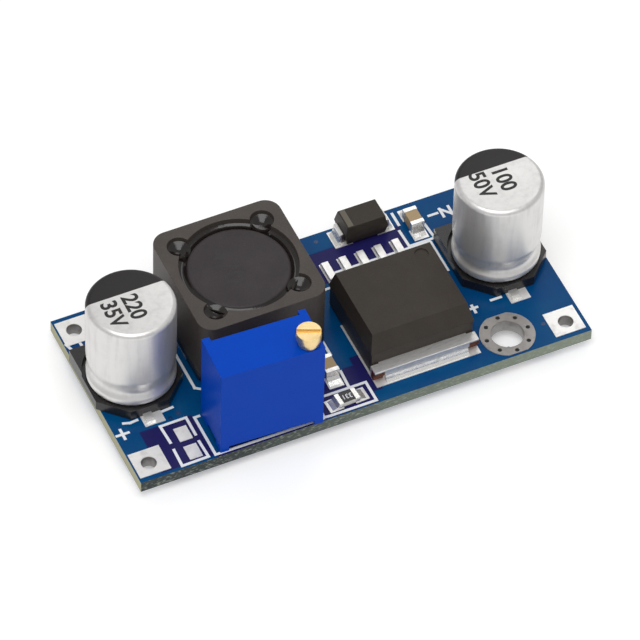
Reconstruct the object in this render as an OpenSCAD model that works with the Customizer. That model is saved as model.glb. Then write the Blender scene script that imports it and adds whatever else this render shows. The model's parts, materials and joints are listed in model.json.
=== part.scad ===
// Adjustable step-down (buck) converter module.
// One loaded circuit board: two surface-mount electrolytic capacitors, a shielded
// inductor, a five-lead power regulator, a diode, three chips and a multi-turn trimmer.
// Millimetres, +X along the board towards the input end, +Y to the rear edge, +Z up.
// The origin is below the middle of the board, level with the ends of the trimmer pins.

/* [Board] */
// Length of the board
board_l = 43; // [42:0.1:48]
// Width of the board
board_w = 19.8; // [19.8:0.1:23]
// Thickness of the laminate
board_t = 1.2; // [0.8:0.1:1.6]
// Thickness of the tinned copper on the lands
land_t = 0.06; // [0.04:0.01:0.1]

/* [Wire pads] */
// Length of a corner pad along the board
wire_pad_l = 2.9; // [2.6:0.1:3.2]
// Width of a corner pad across the board
wire_pad_w = 2.8; // [2.6:0.1:3.2]
// Bare strip between an output pad and the left end of the board
out_pad_end_gap = 0.15; // [0.1:0.05:0.3]
// Bare strip between an input pad and the right end of the board
in_pad_end_gap = 0.35; // [0.1:0.05:0.4]
// Bare strip between a corner pad and the long edge of the board
wire_pad_side_gap = 0.45; // [0.2:0.05:0.6]
// Plated hole for a wire
wire_hole_d = 1.4; // [1:0.1:1.8]
// Distance of a wire hole from the inner edge of its pad, along the board
wire_hole_in = 1.55; // [1.3:0.05:1.7]
// Distance of a wire hole from the inner edge of its pad, across the board
wire_hole_across = 1.5; // [1.2:0.05:1.6]

/* [Fixing holes] */
// Plated hole for a fixing screw
fixing_hole_d = 3; // [2.6:0.1:3.2]
// Outer diameter of the bare ring round a fixing hole
fixing_ring_d = 4.95; // [4.4:0.05:5.2]
// Distance of the rear fixing hole from the left end of the board
fixing_end = 7; // [6.8:0.1:7.4]
// Strip between the front fixing ring and the regulator's tab
fixing_tab_gap = 0.525; // [0.4:0.025:0.7]
// Distance of a fixing hole from its long edge
fixing_side = 2.5; // [2.3:0.1:2.8]
// Strip of laminate left outside the ring at the long edge
fixing_ring_side_gap = 0.2; // [0.1:0.05:0.25]
// Small plated holes in each ring
via_count = 8; // [4:1:10]
// Diameter of those small holes
via_d = 0.4; // [0.2:0.05:0.5]

/* [Capacitors] */
// Diameter of a capacitor can
can_d = 7.9; // [6.3:0.1:8]
// Height of a capacitor, from its base to the top of the can
can_top = 10.4; // [7:0.1:12]
// Rounding of the top edge of the can
can_top_r = 0.45; // [0.2:0.05:0.8]
// Rounding of the crimped bottom rim
can_rim_r = 0.35; // [0.2:0.05:0.5]
// Height of the rolled groove above the rim of the can
groove_up = 1.9; // [1.6:0.1:2.4]
// Height of the groove itself
groove_h = 1.5; // [1:0.1:1.8]
// Depth of the groove
groove_depth = 0.4; // [0.2:0.05:0.5]
// Side of the square moulded base
cap_base_w = 8.2; // [8.1:0.1:8.4]
// Thickness of the base under the can
cap_base_t = 1; // [0.8:0.1:1.4]
// Chamfer of the two front corners of the base
cap_base_chamfer = 2.3; // [1.5:0.1:2.4]
// Height of the walls at the two rear corners of the base
cap_wall_h = 1.5; // [1.2:0.1:2.4]
// Radial gap between the can and those walls
cap_wall_gap = 0.35; // [0.3:0.05:0.5]
// Width of a lead strip
cap_lead_w = 0.8; // [0.6:0.1:1]
// Thickness of a lead strip
cap_lead_t = 0.25; // [0.15:0.05:0.3]
// Diameter of the round part of a lead
cap_lead_d = 0.6; // [0.4:0.05:0.7]
// Distance of the round part of a lead from the middle of the can
cap_lead_pitch = 1.55; // [1.3:0.05:1.9]
// Sideways offset of the leads from the middle of the can
cap_lead_shift = -0.3; // [-0.4:0.05:0]
// Length of lead that shows beyond the base
cap_lead_out = 0.75; // [0.5:0.05:1]
// Width of a capacitor land
cap_land_w = 1.9; // [1.4:0.05:2]
// Length of land beyond the end of a lead
cap_land_out = 0.5; // [0.3:0.05:0.6]
// Distance of the output capacitor from the left end of the board
out_cap_end = 3.8; // [3.7:0.05:4.4]
// Gap between the regulator's tab and the input capacitor
reg_to_cap = 1.7; // [1.6:0.05:2]
// Distance of both capacitors behind the middle of the board
cap_y = 0.95; // [0.6:0.05:1.3]

/* [Inductor] */
// Side of the square ferrite shield
ind_w = 12; // [11:0.1:12.3]
// Height of the inductor
ind_h = 7.4; // [6:0.1:8]
// Corner radius of the shield
ind_corner_r = 1.45; // [1:0.05:1.8]
// Round opening through the shield
ind_bore_d = 10.5; // [10:0.1:10.7]
// Thickness of the moulded base plate
ind_base_t = 0.9; // [0.7:0.1:1.2]
// Diameter of the core's flanges
ind_flange_d = 9.2; // [8.6:0.1:9.6]
// Thickness of each flange
ind_flange_t = 1.3; // [1:0.1:1.6]
// Diameter of the core's middle post
ind_post_d = 5; // [4:0.1:6]
// Depth of the top flange below the top of the shield
ind_core_drop = 0.45; // [0.3:0.05:0.8]
// Rounding of the top flange
ind_flange_r = 0.3; // [0.15:0.05:0.4]
// Gap between the winding and the edge of the flanges
ind_winding_gap = 0.35; // [0.2:0.05:0.6]
// Radius of the four glue pockets
glue_pocket_r = 1.05; // [1:0.05:1.2]
// Distance of the glue pockets from the middle, along each side
glue_pocket_at = 3.95; // [3.9:0.05:4]
// Depth of the glue pockets
glue_pocket_depth = 1.1; // [0.8:0.1:1.4]
// Depth of the glue below the top of the shield
glue_drop = 0.4; // [0.3:0.05:0.7]
// Width of a terminal strip
ind_terminal_w = 4.6; // [3:0.1:5.5]
// Thickness of a terminal strip
ind_terminal_t = 0.2; // [0.15:0.05:0.3]
// Length of a terminal's foot under the base
ind_foot_l = 2.2; // [1.6:0.1:3]
// Gap between the output capacitor and the inductor
cap_to_ind = 1.2; // [0.9:0.05:1.6]
// Distance of the inductor behind the middle of the board
ind_y = 3.5; // [3.4:0.05:3.7]

/* [Regulator] */
// Width of the metal tab
tab_w = 10; // [9.6:0.1:10.3]
// Thickness of the tab
tab_t = 1.3; // [1.1:0.05:1.4]
// Length of tab that shows in front of the body
tab_out = 1; // [0.8:0.1:1.2]
// Width of the part of the tab that is moulded into the body
tab_slug_w = 8.4; // [7:0.1:9]
// Length of that part
tab_slug_l = 6.2; // [5:0.1:7]
// Width of the cut stubs at the two ends of the tab
tab_stub_w = 1.05; // [0.8:0.05:1.3]
// Thickness of those stubs
tab_stub_t = 0.65; // [0.5:0.05:0.8]
// Undercut behind the lower half of the stubs
tab_stub_back = 0.35; // [0.2:0.05:0.5]
// Height of the moulded body above the board
reg_h = 4.45; // [4.3:0.05:4.6]
// Width of the body at its parting line
reg_w = 9.9; // [9.6:0.1:10.2]
// Length of the body at its parting line, tab excluded
reg_l = 8.9; // [8.4:0.1:9.2]
// Height of the parting line
reg_parting_z = 2.6; // [2.4:0.1:2.9]
// Draft of each side of the upper body
reg_side_draft = 0.4; // [0.2:0.05:0.5]
// Slope of the front face over the whole height of the body
reg_front_draft = 0.8; // [0.5:0.1:1]
// Draft of the rear face
reg_rear_draft = 0.45; // [0.2:0.05:0.6]
// Step at the parting line
reg_step = 0.1; // [0.05:0.05:0.2]
// Gap under the moulded body
reg_body_gap = 0.1; // [0.05:0.05:0.2]
// Radius of the dimple beside the first lead
reg_dimple_r = 0.62; // [0.4:0.02:0.8]
// Depth of the dimple
reg_dimple_depth = 0.12; // [0.06:0.02:0.2]
// Pitch of the five leads
reg_pitch = 1.7; // [1.65:0.05:1.75]
// Width of a lead
reg_lead_w = 0.7; // [0.6:0.05:0.85]
// Thickness of a lead
reg_lead_t = 0.45; // [0.35:0.05:0.5]
// Straight shoulder of a lead behind the body
reg_shoulder = 0.75; // [0.6:0.05:0.9]
// Length from the body to the tip of a lead's foot
reg_reach = 4.3; // [4:0.1:4.6]
// Length of a lead's foot
reg_foot = 2.2; // [1.8:0.1:2.4]
// Width of a lead's land
reg_land_w = 0.88; // [0.86:0.02:1.1]
// Gap between the inductor and the regulator's tab
ind_to_reg = 1.9; // [1.7:0.05:2]
// Distance of the regulator's front edge from the front edge of the board
reg_front = 2; // [1.6:0.1:2.4]
// Length of land in front of the tab
tab_land_out = 0.5; // [0.3:0.05:0.8]

/* [Diode] */
// Length of the diode's body
diode_l = 4.1; // [4:0.05:4.3]
// Width of the diode's body
diode_w = 2.65; // [2.3:0.05:2.7]
// Height of the diode above the board
diode_h = 2.4; // [2:0.05:2.5]
// Draft of the diode's faces
diode_draft = 0.22; // [0.1:0.02:0.3]
// Width of the diode's leads
diode_lead_w = 1.45; // [1.2:0.05:1.6]
// Thickness of the diode's leads
diode_lead_t = 0.2; // [0.15:0.05:0.25]
// Distance that a lead stands out from the body
diode_lead_out = 0.35; // [0.3:0.05:0.45]
// Distance of the diode right of the regulator's middle
diode_side = 1.25; // [1.1:0.05:1.35]
// Gap between the feet of the regulator's leads and the diode
diode_gap = 1.025; // [0.9:0.025:1.1]

/* [Chips] */
// Length of a chip
chip_l = 2; // [1.8:0.05:2.1]
// Width of a chip
chip_w = 1.25; // [1.1:0.05:1.3]
// Height of a chip capacitor
chip_cap_h = 1.2; // [0.8:0.05:1.3]
// Height of the chip resistor
chip_res_h = 0.55; // [0.45:0.05:0.65]
// Length of the metal end of a chip
chip_end_l = 0.42; // [0.3:0.02:0.5]
// Thickness of the metal on the ends of a chip
chip_end_t = 0.04; // [0.03:0.01:0.06]
// Thickness of the black coating on the chip resistor
chip_coat_t = 0.05; // [0.03:0.01:0.08]
// Length of land beyond the end of a chip
chip_land_out = 0.9; // [0.5:0.05:1]
// Width of a chip land
chip_land_w = 1.4; // [1.25:0.05:1.5]
// Distance of the input chip capacitor right of the regulator
chip_a_side = 5.85; // [5.8:0.05:5.9]
// Distance of the input chip capacitor behind the feet of the regulator's leads
chip_a_back = 1.25; // [1.2:0.05:1.35]
// Distance of the feedback chip capacitor left of the regulator
chip_b_side = 8.15; // [8.05:0.05:8.2]
// Distance of the feedback chip capacitor from the front edge of the board
chip_b_front = 4.85; // [4.8:0.05:4.9]
// Distance of the chip resistor left of the regulator
chip_r_side = 8; // [7.95:0.05:8.1]
// Distance of the chip resistor from the front edge of the board
chip_r_front = 1.3; // [1.2:0.05:1.35]

/* [Spare lands] */
// Width of each spare land
spare_w = 1.2; // [1:0.05:1.3]
// Length of each spare land
spare_l = 1.55; // [1.3:0.05:1.6]
// Distance between the middles of the two spare lands
spare_pitch = 2.15; // [2.1:0.05:2.3]
// Distance of the spare lands from the left end of the board
spare_end = 5.5; // [5.4:0.05:5.6]
// Distance of the first spare land from the front edge of the board
spare_front = 1.4; // [1.35:0.05:1.5]

/* [Trimmer] */
// Width of the trimmer's housing
trim_w = 9.53; // [9.4:0.01:9.6]
// Depth of the housing with its rear ribs
trim_d = 4.65; // [4.5:0.05:4.9]
// Height of the housing above the board
trim_h = 10.03; // [9.8:0.01:10.3]
// Wall of the housing
trim_wall = 0.35; // [0.3:0.05:0.4]
// Thickness of the housing's top
trim_roof = 1.2; // [1.1:0.05:1.4]
// Depth of the two ribs at the rear of the housing
trim_rib_out = 0.45; // [0.3:0.05:0.5]
// Width of those ribs
trim_rib_w = 0.7; // [0.5:0.05:1]
// Height of the feet at the corners of the housing
trim_foot_h = 0.55; // [0.25:0.05:0.6]
// Width of those feet
trim_foot_w = 0.8; // [0.6:0.05:1.1]
// Distance of the screw from the right side of the housing
screw_side = 1.15; // [1.1:0.05:1.3]
// Distance of the screw from the front of the housing
screw_front = 1; // [1:0.05:1.3]
// Diameter of the screw's head
screw_head_d = 2.19; // [2:0.01:2.3]
// Height of the screw's head above the housing
screw_head_up = 1.52; // [1.3:0.02:1.7]
// Radial depth of the taper at the foot of the head
screw_taper = 0.16; // [0.1:0.02:0.3]
// Height of that taper
screw_taper_h = 0.7; // [0.4:0.05:0.9]
// Diameter of the screw's neck
screw_neck_d = 1; // [0.96:0.02:1.04]
// Diameter of the screw's threaded shaft
screw_shaft_d = 0.9; // [0.8:0.02:0.9]
// Width of the driver slot
screw_slot_w = 0.45; // [0.3:0.05:0.6]
// Depth of the driver slot
screw_slot_depth = 0.5; // [0.3:0.05:0.8]
// Direction of the driver slot at rest
screw_slot_turn = -24; // [-90:1:90]
// Running clearance round the screw, on the radius
screw_play = 0.05; // [0.02:0.01:0.08]
// Thickness of the sealing ring
o_ring_t = 0.24; // [0.2:0.02:0.26]
// Thickness of the retaining ring
clip_t = 0.2; // [0.15:0.05:0.25]
// Outer diameter of the retaining ring
clip_d = 1.24; // [1.2:0.02:1.26]
// Groove in the screw for the retaining ring
clip_groove_d = 0.7; // [0.6:0.05:0.75]
// Height of the wiper carriage
carriage_h = 1.4; // [1:0.1:1.6]
// Distance from the screw to the near faces of the carriage
carriage_side = 0.6; // [0.56:0.02:0.62]
// Length of the wiper carriage along the housing
carriage_l = 4.6; // [3.6:0.1:5]
// Travel of the carriage to each side of its middle
carriage_travel = 2.75; // [2:0.05:2.8]
// Thickness of the wiper spring
wiper_t = 0.12; // [0.08:0.02:0.2]
// Width of the wiper spring
wiper_w = 1; // [0.6:0.05:1.2]
// Gap between the wiper and the resistance element
wiper_gap = 0.03; // [0.02:0.01:0.06]
// Thickness of the resistance element
element_t = 0.6; // [0.4:0.05:0.7]
// Thickness of the base seal
seal_t = 0.9; // [0.8:0.05:0.95]
// Diameter of a pin
pin_d = 0.51; // [0.45:0.01:0.55]
// Pitch of the pins
pin_pitch = 2.54; // [2.5:0.01:2.6]
// Gap between a pin and the resistance element
pin_gap = 0.1; // [0.05:0.05:0.2]
// Height of the pins inside the housing
pin_up = 2.4; // [2:0.1:2.6]
// Length of pin that shows below the board
pin_drop = 0.9; // [0.6:0.05:1.5]
// Diameter of a plated pin hole
pin_hole_d = 0.9; // [0.8:0.02:1]
// Diameter of the solder under a pin
pin_solder_d = 1.7; // [1.4:0.05:1.9]
// Height of the solder cone under a pin
pin_solder_h = 0.65; // [0.4:0.05:0.8]
// Distance of the trimmer from the left end of the board
trim_end = 12.45; // [12.4:0.05:12.5]
// Distance of the trimmer's middle from the front edge of the board
trim_front = 2.42; // [2.4:0.02:2.7]
// Turn of the trimmer on the board
trim_turn = -2.5; // [-3:0.5:0]

/* [Hidden] */
$fn = 48;
// Overshoot of a cut through a face
eps = 0.01;

// Heights above the ground
board_under = pin_drop;
board_top = board_under + board_t;

// Places on the board, from its middle
left = -board_l / 2;
right = board_l / 2;
front = -board_w / 2;
rear = board_w / 2;
in_pad_x = right - in_pad_end_gap - wire_pad_l;
out_pad_x = left + out_pad_end_gap + wire_pad_l;
wire_pad_y = rear - wire_pad_side_gap - wire_pad_w;
fixing_y = rear - fixing_side;
via_circle_r = (fixing_hole_d + fixing_ring_d) / 4;

// The large parts stand in a row from the output end, each a named gap from the last
out_cap_x = left + out_cap_end;
ind_x = out_cap_x + cap_base_w / 2 + cap_to_ind + ind_w / 2;
reg_x = ind_x + ind_w / 2 + ind_to_reg + tab_w / 2;
in_cap_x = reg_x + tab_w / 2 + reg_to_cap + cap_base_w / 2;
rear_fixing_x = left + fixing_end;
front_fixing_x = reg_x + (tab_w + fixing_ring_d) / 2 + fixing_tab_gap;
tab_front_y = front + reg_front;
body_front_y = tab_front_y + tab_out;
lead_end_y = body_front_y + reg_l - reg_step + reg_reach;
diode_x = reg_x + diode_side;
diode_y = lead_end_y + diode_gap + diode_w / 2;
chip_a_x = reg_x + chip_a_side;
chip_a_y = lead_end_y + chip_a_back;
chip_b_x = reg_x - chip_b_side;
chip_b_y = front + chip_b_front;
chip_r_x = reg_x - chip_r_side;
chip_r_y = front + chip_r_front;
trim_x = left + trim_end;
trim_y = front + trim_front;
spare_x = left + spare_end;

// Sizes inside the inductor
ind_shield_z = ind_base_t;
ind_core_top = ind_h - ind_core_drop;
ind_winding_z = ind_base_t + ind_flange_t;
ind_winding_top = ind_core_top - ind_flange_t;

// Sizes inside the trimmer
screw_x = trim_w / 2 - screw_side;
screw_y = -trim_d / 2 + screw_front;
roof_z = trim_h - trim_roof;
trim_back_y = trim_d / 2 - trim_rib_out;
cavity_x = trim_w / 2 - trim_wall;
cavity_front = -trim_d / 2 + trim_wall;
cavity_back = trim_back_y - trim_wall;
seal_z = trim_foot_h;
seal_top = seal_z + seal_t;
element_front = cavity_back - element_t;
pin_y = element_front - pin_gap - pin_d / 2;
clip_z = roof_z - screw_play - clip_t;
carriage_back = pin_y - pin_d / 2 - 2 * wiper_t;
carriage_mid = (seal_top + clip_z) / 2;
// The wiper runs between the middle pin and the pin beside the screw
wiper_x = pin_pitch / 2;
screw_tip_z = seal_top - 0.4;
screw_tip_d = 0.6;
o_ring_seat_r = screw_neck_d / 2 + screw_play / 2 + o_ring_t;

// Points along an arc from angle a0 to angle a1
function arc(x, y, r, a0, a1, n = 6) =
    [for (i = [0 : n]) let (a = a0 + (a1 - a0) * i / n) [x + r * cos(a), y + r * sin(a)]];
function unit(v) = v / norm(v);
function turned(v) = [-v[1], v[0]];
// Points of the bend that replaces the corner b between a and c
function bend(a, b, c, r, n = 4) =
    let (
        u = unit(a - b),
        v = unit(c - b),
        half = acos(u * v) / 2,
        p = b + u * r / tan(half),
        q = b + v * r / tan(half),
        middle = b + unit(u + v) * r / sin(half)
    )
    [for (i = [0 : n]) middle + r * unit((p - middle) * (1 - i / n) + (q - middle) * i / n)];
function bent_path(points, r) = [
    points[0],
    for (i = [1 : len(points) - 2]) each bend(points[i - 1], points[i], points[i + 1], r),
    points[len(points) - 1]
];
// Sideways step at point i of a path, lengthened at a corner so that the strip keeps its thickness
function side_step(path, i) =
    let (
        last = len(path) - 1,
        before = turned(unit(path[max(i, 1)] - path[max(i, 1) - 1])),
        after = turned(unit(path[min(i, last - 1) + 1] - path[min(i, last - 1)])),
        middle = unit(before + after)
    )
    middle / (middle * before);
function strip_outline(path, t) = concat(
    [for (i = [0 : len(path) - 1]) path[i] + side_step(path, i) * t / 2],
    [for (i = [len(path) - 1 : -1 : 0]) path[i] - side_step(path, i) * t / 2]
);

module on_board(x, y, turn = 0) {
    translate([x, y, board_top]) rotate([0, 0, turn]) children();
}
module slab(w, d, h) {
    translate([-w / 2, -d / 2, 0]) cube([w, d, h]);
}
module rounded_square(w, r) {
    square([w - 2 * r, w], center = true);
    square([w, w - 2 * r], center = true);
    for (x = [-1, 1], y = [-1, 1])
        translate([x * (w / 2 - r), y * (w / 2 - r)]) circle(r);
}
// Block with a drafted outline in both views: two crossed prisms, one from the front, one from the side
module drafted_block(front_view, side_view, reach) {
    intersection() {
        translate([0, reach, 0]) rotate([90, 0, 0]) linear_extrude(2 * reach) polygon(front_view);
        translate([-reach, 0, 0]) rotate([90, 0, 90]) linear_extrude(2 * reach) polygon(side_view);
    }
}
// Metal strip of width w whose bent path lies in the plane of Y and Z
module bent_strip(points, w, t, r) {
    translate([-w / 2, 0, 0])
        rotate([90, 0, 90])
            linear_extrude(w) polygon(strip_outline(bent_path(points, r), t));
}
// Wedge of solder at the toe of a lead, w wide, out long and up high, towards +Y
module toe_fillet(w, out, up) {
    translate([-w / 2, 0, 0])
        rotate([90, 0, 90])
            linear_extrude(w) polygon([[0, 0], [out, 0], [out * 0.35, up * 0.35], [0, up]]);
}

// Board

// Inner corner of a wire pad, with X outwards along the board and Y outwards across it
module at_wire_pad(sx, sy) {
    translate([sx > 0 ? in_pad_x : out_pad_x, sy * wire_pad_y, 0]) scale([sx, sy, 1]) children();
}
module wire_hole() {
    translate([wire_hole_in, wire_hole_across, 0])
        cylinder(d = wire_hole_d, h = 9 * board_t, center = true);
}
module via_holes(h) {
    for (i = [0 : via_count - 1])
        rotate([0, 0, 360 * i / via_count])
            translate([via_circle_r, 0, 0]) cylinder(d = via_d, h = h, center = true);
}
module at_fixing(side) {
    x = side > 0 ? front_fixing_x : rear_fixing_x;
    translate([x, -side * fixing_y, board_under + board_t / 2]) children();
}
module at_pins() {
    for (i = [-1, 0, 1])
        on_board(trim_x, trim_y, trim_turn) translate([i * pin_pitch, pin_y, 0]) children();
}
module circuit_board() {
    color("#17407f")
        difference() {
            translate([0, 0, board_under]) slab(board_l, board_w, board_t);
            for (x = [-1, 1], y = [-1, 1]) at_wire_pad(x, y) wire_hole();
            for (side = [-1, 1])
                at_fixing(side) {
                    cylinder(d = fixing_hole_d, h = 3 * board_t, center = true);
                    via_holes(3 * board_t);
                }
            at_pins() cylinder(d = pin_hole_d, h = 3 * board_t, center = true);
        }
}
// Pads of tinned copper on both faces of the board, round a plated hole
module wire_pad(sx, sy) {
    color("#d8d6d0")
        at_wire_pad(sx, sy)
            difference() {
                for (z = [board_under - land_t, board_top])
                    translate([0, 0, z]) cube([wire_pad_l, wire_pad_w, land_t]);
                wire_hole();
            }
}
// Rings on both faces round a fixing hole, trimmed along the edge of the board
module fixing_ring(side) {
    trim_side = fixing_side - fixing_ring_side_gap;
    color("#c9c7c1")
        at_fixing(side)
            for (z = [-board_t / 2 - land_t, board_t / 2])
                translate([0, 0, z])
                    difference() {
                        linear_extrude(land_t)
                            intersection() {
                                circle(d = fixing_ring_d);
                                square([2 * fixing_ring_d, 2 * trim_side], center = true);
                            }
                        cylinder(d = fixing_hole_d, h = 3 * board_t, center = true);
                        via_holes(3 * board_t);
                    }
}

// Capacitors

can_r = can_d / 2;
can_z = cap_base_t;
can_h = can_top - can_z;
// Half section of the can: crimped rim, rolled groove, straight wall and rounded top
can_section = concat(
    [[0, 0]],
    arc(can_r - can_rim_r, can_rim_r, can_rim_r, -90, 0),
    [
        for (i = [0 : 14])
            let (t = i / 14)
            [can_r - groove_depth * (1 - cos(360 * t)) / 2, groove_up + groove_h * (t - 0.5)]
    ],
    arc(can_r - can_top_r, can_h - can_top_r, can_top_r, 0, 90),
    [[0, can_h]]
);
module capacitor_can(x) {
    color("#cfcfcd")
        on_board(x, cap_y)
            translate([0, 0, can_z + land_t])
                rotate_extrude() polygon(can_section);
}
module cap_base_outline() {
    half = cap_base_w / 2;
    inner = half - cap_base_chamfer;
    polygon([
        [-half, half], [-half, -inner], [-inner, -half],
        [inner, -half], [half, -inner], [half, half]
    ]);
}
module capacitor_base(x) {
    color("#1c1c1e")
        on_board(x, cap_y)
            translate([0, 0, land_t])
                difference() {
                    union() {
                        linear_extrude(cap_base_t) cap_base_outline();
                        linear_extrude(cap_wall_h)
                            difference() {
                                translate([-cap_base_w / 2, 0]) square([cap_base_w, cap_base_w / 2]);
                                circle(can_r + cap_wall_gap);
                            }
                    }
                    for (side = [-1, 1])
                        translate([cap_lead_shift, 0, 0])
                            scale([1, side, 1]) {
                                translate([-cap_lead_w / 2, cap_lead_pitch - cap_lead_d / 2, -eps])
                                    cube([cap_lead_w, cap_base_w, cap_lead_t + eps]);
                                translate([0, cap_lead_pitch, 0])
                                    cylinder(d = cap_lead_d, h = cap_base_t + 1);
                            }
                }
}
// Lead of a capacitor: a round wire down through the base, flattened outwards under it
module capacitor_lead(x, side) {
    cap_lead_l = cap_base_w / 2 + cap_lead_out - cap_lead_pitch + cap_lead_d / 2;
    color("#d9d9d6")
        on_board(x + cap_lead_shift, cap_y, side > 0 ? 0 : 180)
            translate([0, cap_lead_pitch, land_t]) {
                translate([-cap_lead_w / 2, -cap_lead_d / 2, 0])
                    cube([cap_lead_w, cap_lead_l, cap_lead_t]);
                translate([0, 0, cap_lead_t])
                    cylinder(d = cap_lead_d, h = cap_base_t - cap_lead_t);
            }
}

// Inductor

module at_glue() {
    for (x = [-1, 1], y = [-1, 1])
        translate([x * glue_pocket_at, y * glue_pocket_at]) children();
}
module inductor_shield() {
    color("#4d4a48")
        on_board(ind_x, ind_y)
            difference() {
                translate([0, 0, ind_shield_z + land_t])
                    linear_extrude(ind_h - ind_shield_z)
                        rounded_square(ind_w, ind_corner_r);
                cylinder(d = ind_bore_d, h = ind_h + 1);
                translate([0, 0, ind_h + land_t - glue_pocket_depth])
                    at_glue() cylinder(r = glue_pocket_r, h = glue_pocket_depth + 1);
            }
}
module inductor_core() {
    flange_r = ind_flange_d / 2;
    color("#3d3a39")
        on_board(ind_x, ind_y)
            translate([0, 0, land_t])
                rotate_extrude()
                    polygon(concat(
                        [
                            [0, ind_base_t], [flange_r, ind_base_t], [flange_r, ind_winding_z],
                            [ind_post_d / 2, ind_winding_z], [ind_post_d / 2, ind_winding_top],
                            [flange_r, ind_winding_top]
                        ],
                        arc(flange_r - ind_flange_r, ind_core_top - ind_flange_r, ind_flange_r, 0, 90),
                        [[0, ind_core_top]]
                    ));
}
module inductor_winding() {
    color("#b06a35")
        on_board(ind_x, ind_y)
            translate([0, 0, land_t + ind_winding_z])
                linear_extrude(ind_winding_top - ind_winding_z)
                    difference() {
                        circle(ind_flange_d / 2 - ind_winding_gap);
                        circle(ind_post_d / 2);
                    }
}
// Four beads of glue that bridge the gap between the shield and the core
module inductor_glue() {
    color("#232020")
        on_board(ind_x, ind_y)
            translate([0, 0, land_t + ind_h - glue_pocket_depth])
                linear_extrude(glue_pocket_depth - glue_drop)
                    difference() {
                        at_glue() circle(glue_pocket_r);
                        circle(ind_flange_d / 2);
                    }
}
module inductor_base() {
    color("#26221f")
        on_board(ind_x, ind_y)
            translate([0, 0, land_t])
                difference() {
                    linear_extrude(ind_base_t) rounded_square(ind_w, ind_corner_r);
                    for (side = [-1, 1])
                        scale([side, 1, 1])
                            translate([ind_w / 2 - ind_foot_l, -ind_terminal_w / 2, -eps])
                                cube([ind_foot_l + 1, ind_terminal_w, ind_terminal_t + eps]);
                }
}
module inductor_terminal(side) {
    color("#d9d9d6")
        on_board(ind_x, ind_y)
            scale([side, 1, 1])
                translate([ind_w / 2 - ind_foot_l, -ind_terminal_w / 2, land_t])
                    cube([ind_foot_l, ind_terminal_w, ind_terminal_t]);
}

// Regulator

module at_regulator() {
    on_board(reg_x, body_front_y) translate([0, 0, land_t]) children();
}
module regulator_tab() {
    color("#cfcdc9")
        at_regulator() {
            difference() {
                translate([-tab_w / 2, -tab_out, 0]) cube([tab_w, tab_out, tab_t]);
                for (side = [-1, 1])
                    scale([side, 1, 1])
                        translate([tab_w / 2 - tab_stub_w, -tab_out - 1, -1])
                            cube([tab_stub_w + 1, 1 + tab_stub_back, 1 + tab_t - tab_stub_t]);
            }
            translate([-tab_slug_w / 2, 0, 0]) cube([tab_slug_w, tab_slug_l, tab_t]);
        }
}
module regulator_body() {
    half = reg_w / 2;
    top_half = half - reg_side_draft;
    low_half = half - reg_step;
    low_rear = reg_l - reg_step;
    top_rear = reg_l - reg_rear_draft;
    top_z = reg_h - land_t;
    color("#3a3733")
        at_regulator()
            difference() {
                drafted_block(
                    [
                        [-low_half, reg_body_gap], [low_half, reg_body_gap],
                        [low_half, reg_parting_z], [half, reg_parting_z],
                        [top_half, top_z], [-top_half, top_z],
                        [-half, reg_parting_z], [-low_half, reg_parting_z]
                    ],
                    [
                        [0, reg_body_gap], [low_rear, reg_body_gap],
                        [low_rear, reg_parting_z], [reg_l, reg_parting_z],
                        [top_rear, top_z], [reg_front_draft, top_z],
                        [0, reg_parting_z], [reg_step, reg_parting_z], [reg_step, tab_t],
                        [0, tab_t]
                    ],
                    2 * reg_l
                );
                translate([-tab_slug_w / 2, -1, -1]) cube([tab_slug_w, 1 + tab_slug_l, 1 + tab_t]);
                translate([
                    top_half - 2 * reg_dimple_r, top_rear - 1.5 * reg_dimple_r, top_z - reg_dimple_depth
                ])
                    cylinder(r = reg_dimple_r, h = 1);
            }
}
// Lead i of the five, counted from the input end of the board
module regulator_lead(i) {
    mid = reg_lead_t / 2;
    color("#dcdad6")
        at_regulator()
            translate([(3 - i) * reg_pitch, reg_l - reg_step, 0])
                bent_strip(
                    [
                        [0, reg_parting_z - reg_lead_t], [reg_shoulder, reg_parting_z - reg_lead_t],
                        [reg_reach - reg_foot, mid], [reg_reach, mid]
                    ],
                    reg_lead_w, reg_lead_t, reg_lead_t
                );
}

// Diode

module at_diode() {
    on_board(diode_x, diode_y) translate([0, 0, land_t]) children();
}
diode_parting_z = (diode_h - land_t) / 2;
// Outline of the diode's body that stands half to each side at the parting line
function diode_view(half) = [
    [-half + diode_draft, diode_lead_t], [half - diode_draft, diode_lead_t],
    [half, diode_parting_z],
    [half - diode_draft, diode_h - land_t], [-half + diode_draft, diode_h - land_t],
    [-half, diode_parting_z]
];
module diode_body() {
    color("#3b3834")
        at_diode() drafted_block(diode_view(diode_l / 2), diode_view(diode_w / 2), diode_l);
}
// Lead that leaves the end of the body, turns down and tucks under it
module diode_lead(side) {
    mid = diode_lead_t / 2;
    out = diode_l / 2 + diode_lead_out - mid;
    color("#dcdad6")
        at_diode()
            rotate([0, 0, side > 0 ? -90 : 90])
                bent_strip(
                    [
                        [diode_l / 2, diode_parting_z], [out, diode_parting_z],
                        [out, mid], [diode_l / 2 - 1.2, mid]
                    ],
                    diode_lead_w, diode_lead_t, 0.6 * diode_lead_t
                );
}

// Chips

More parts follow.
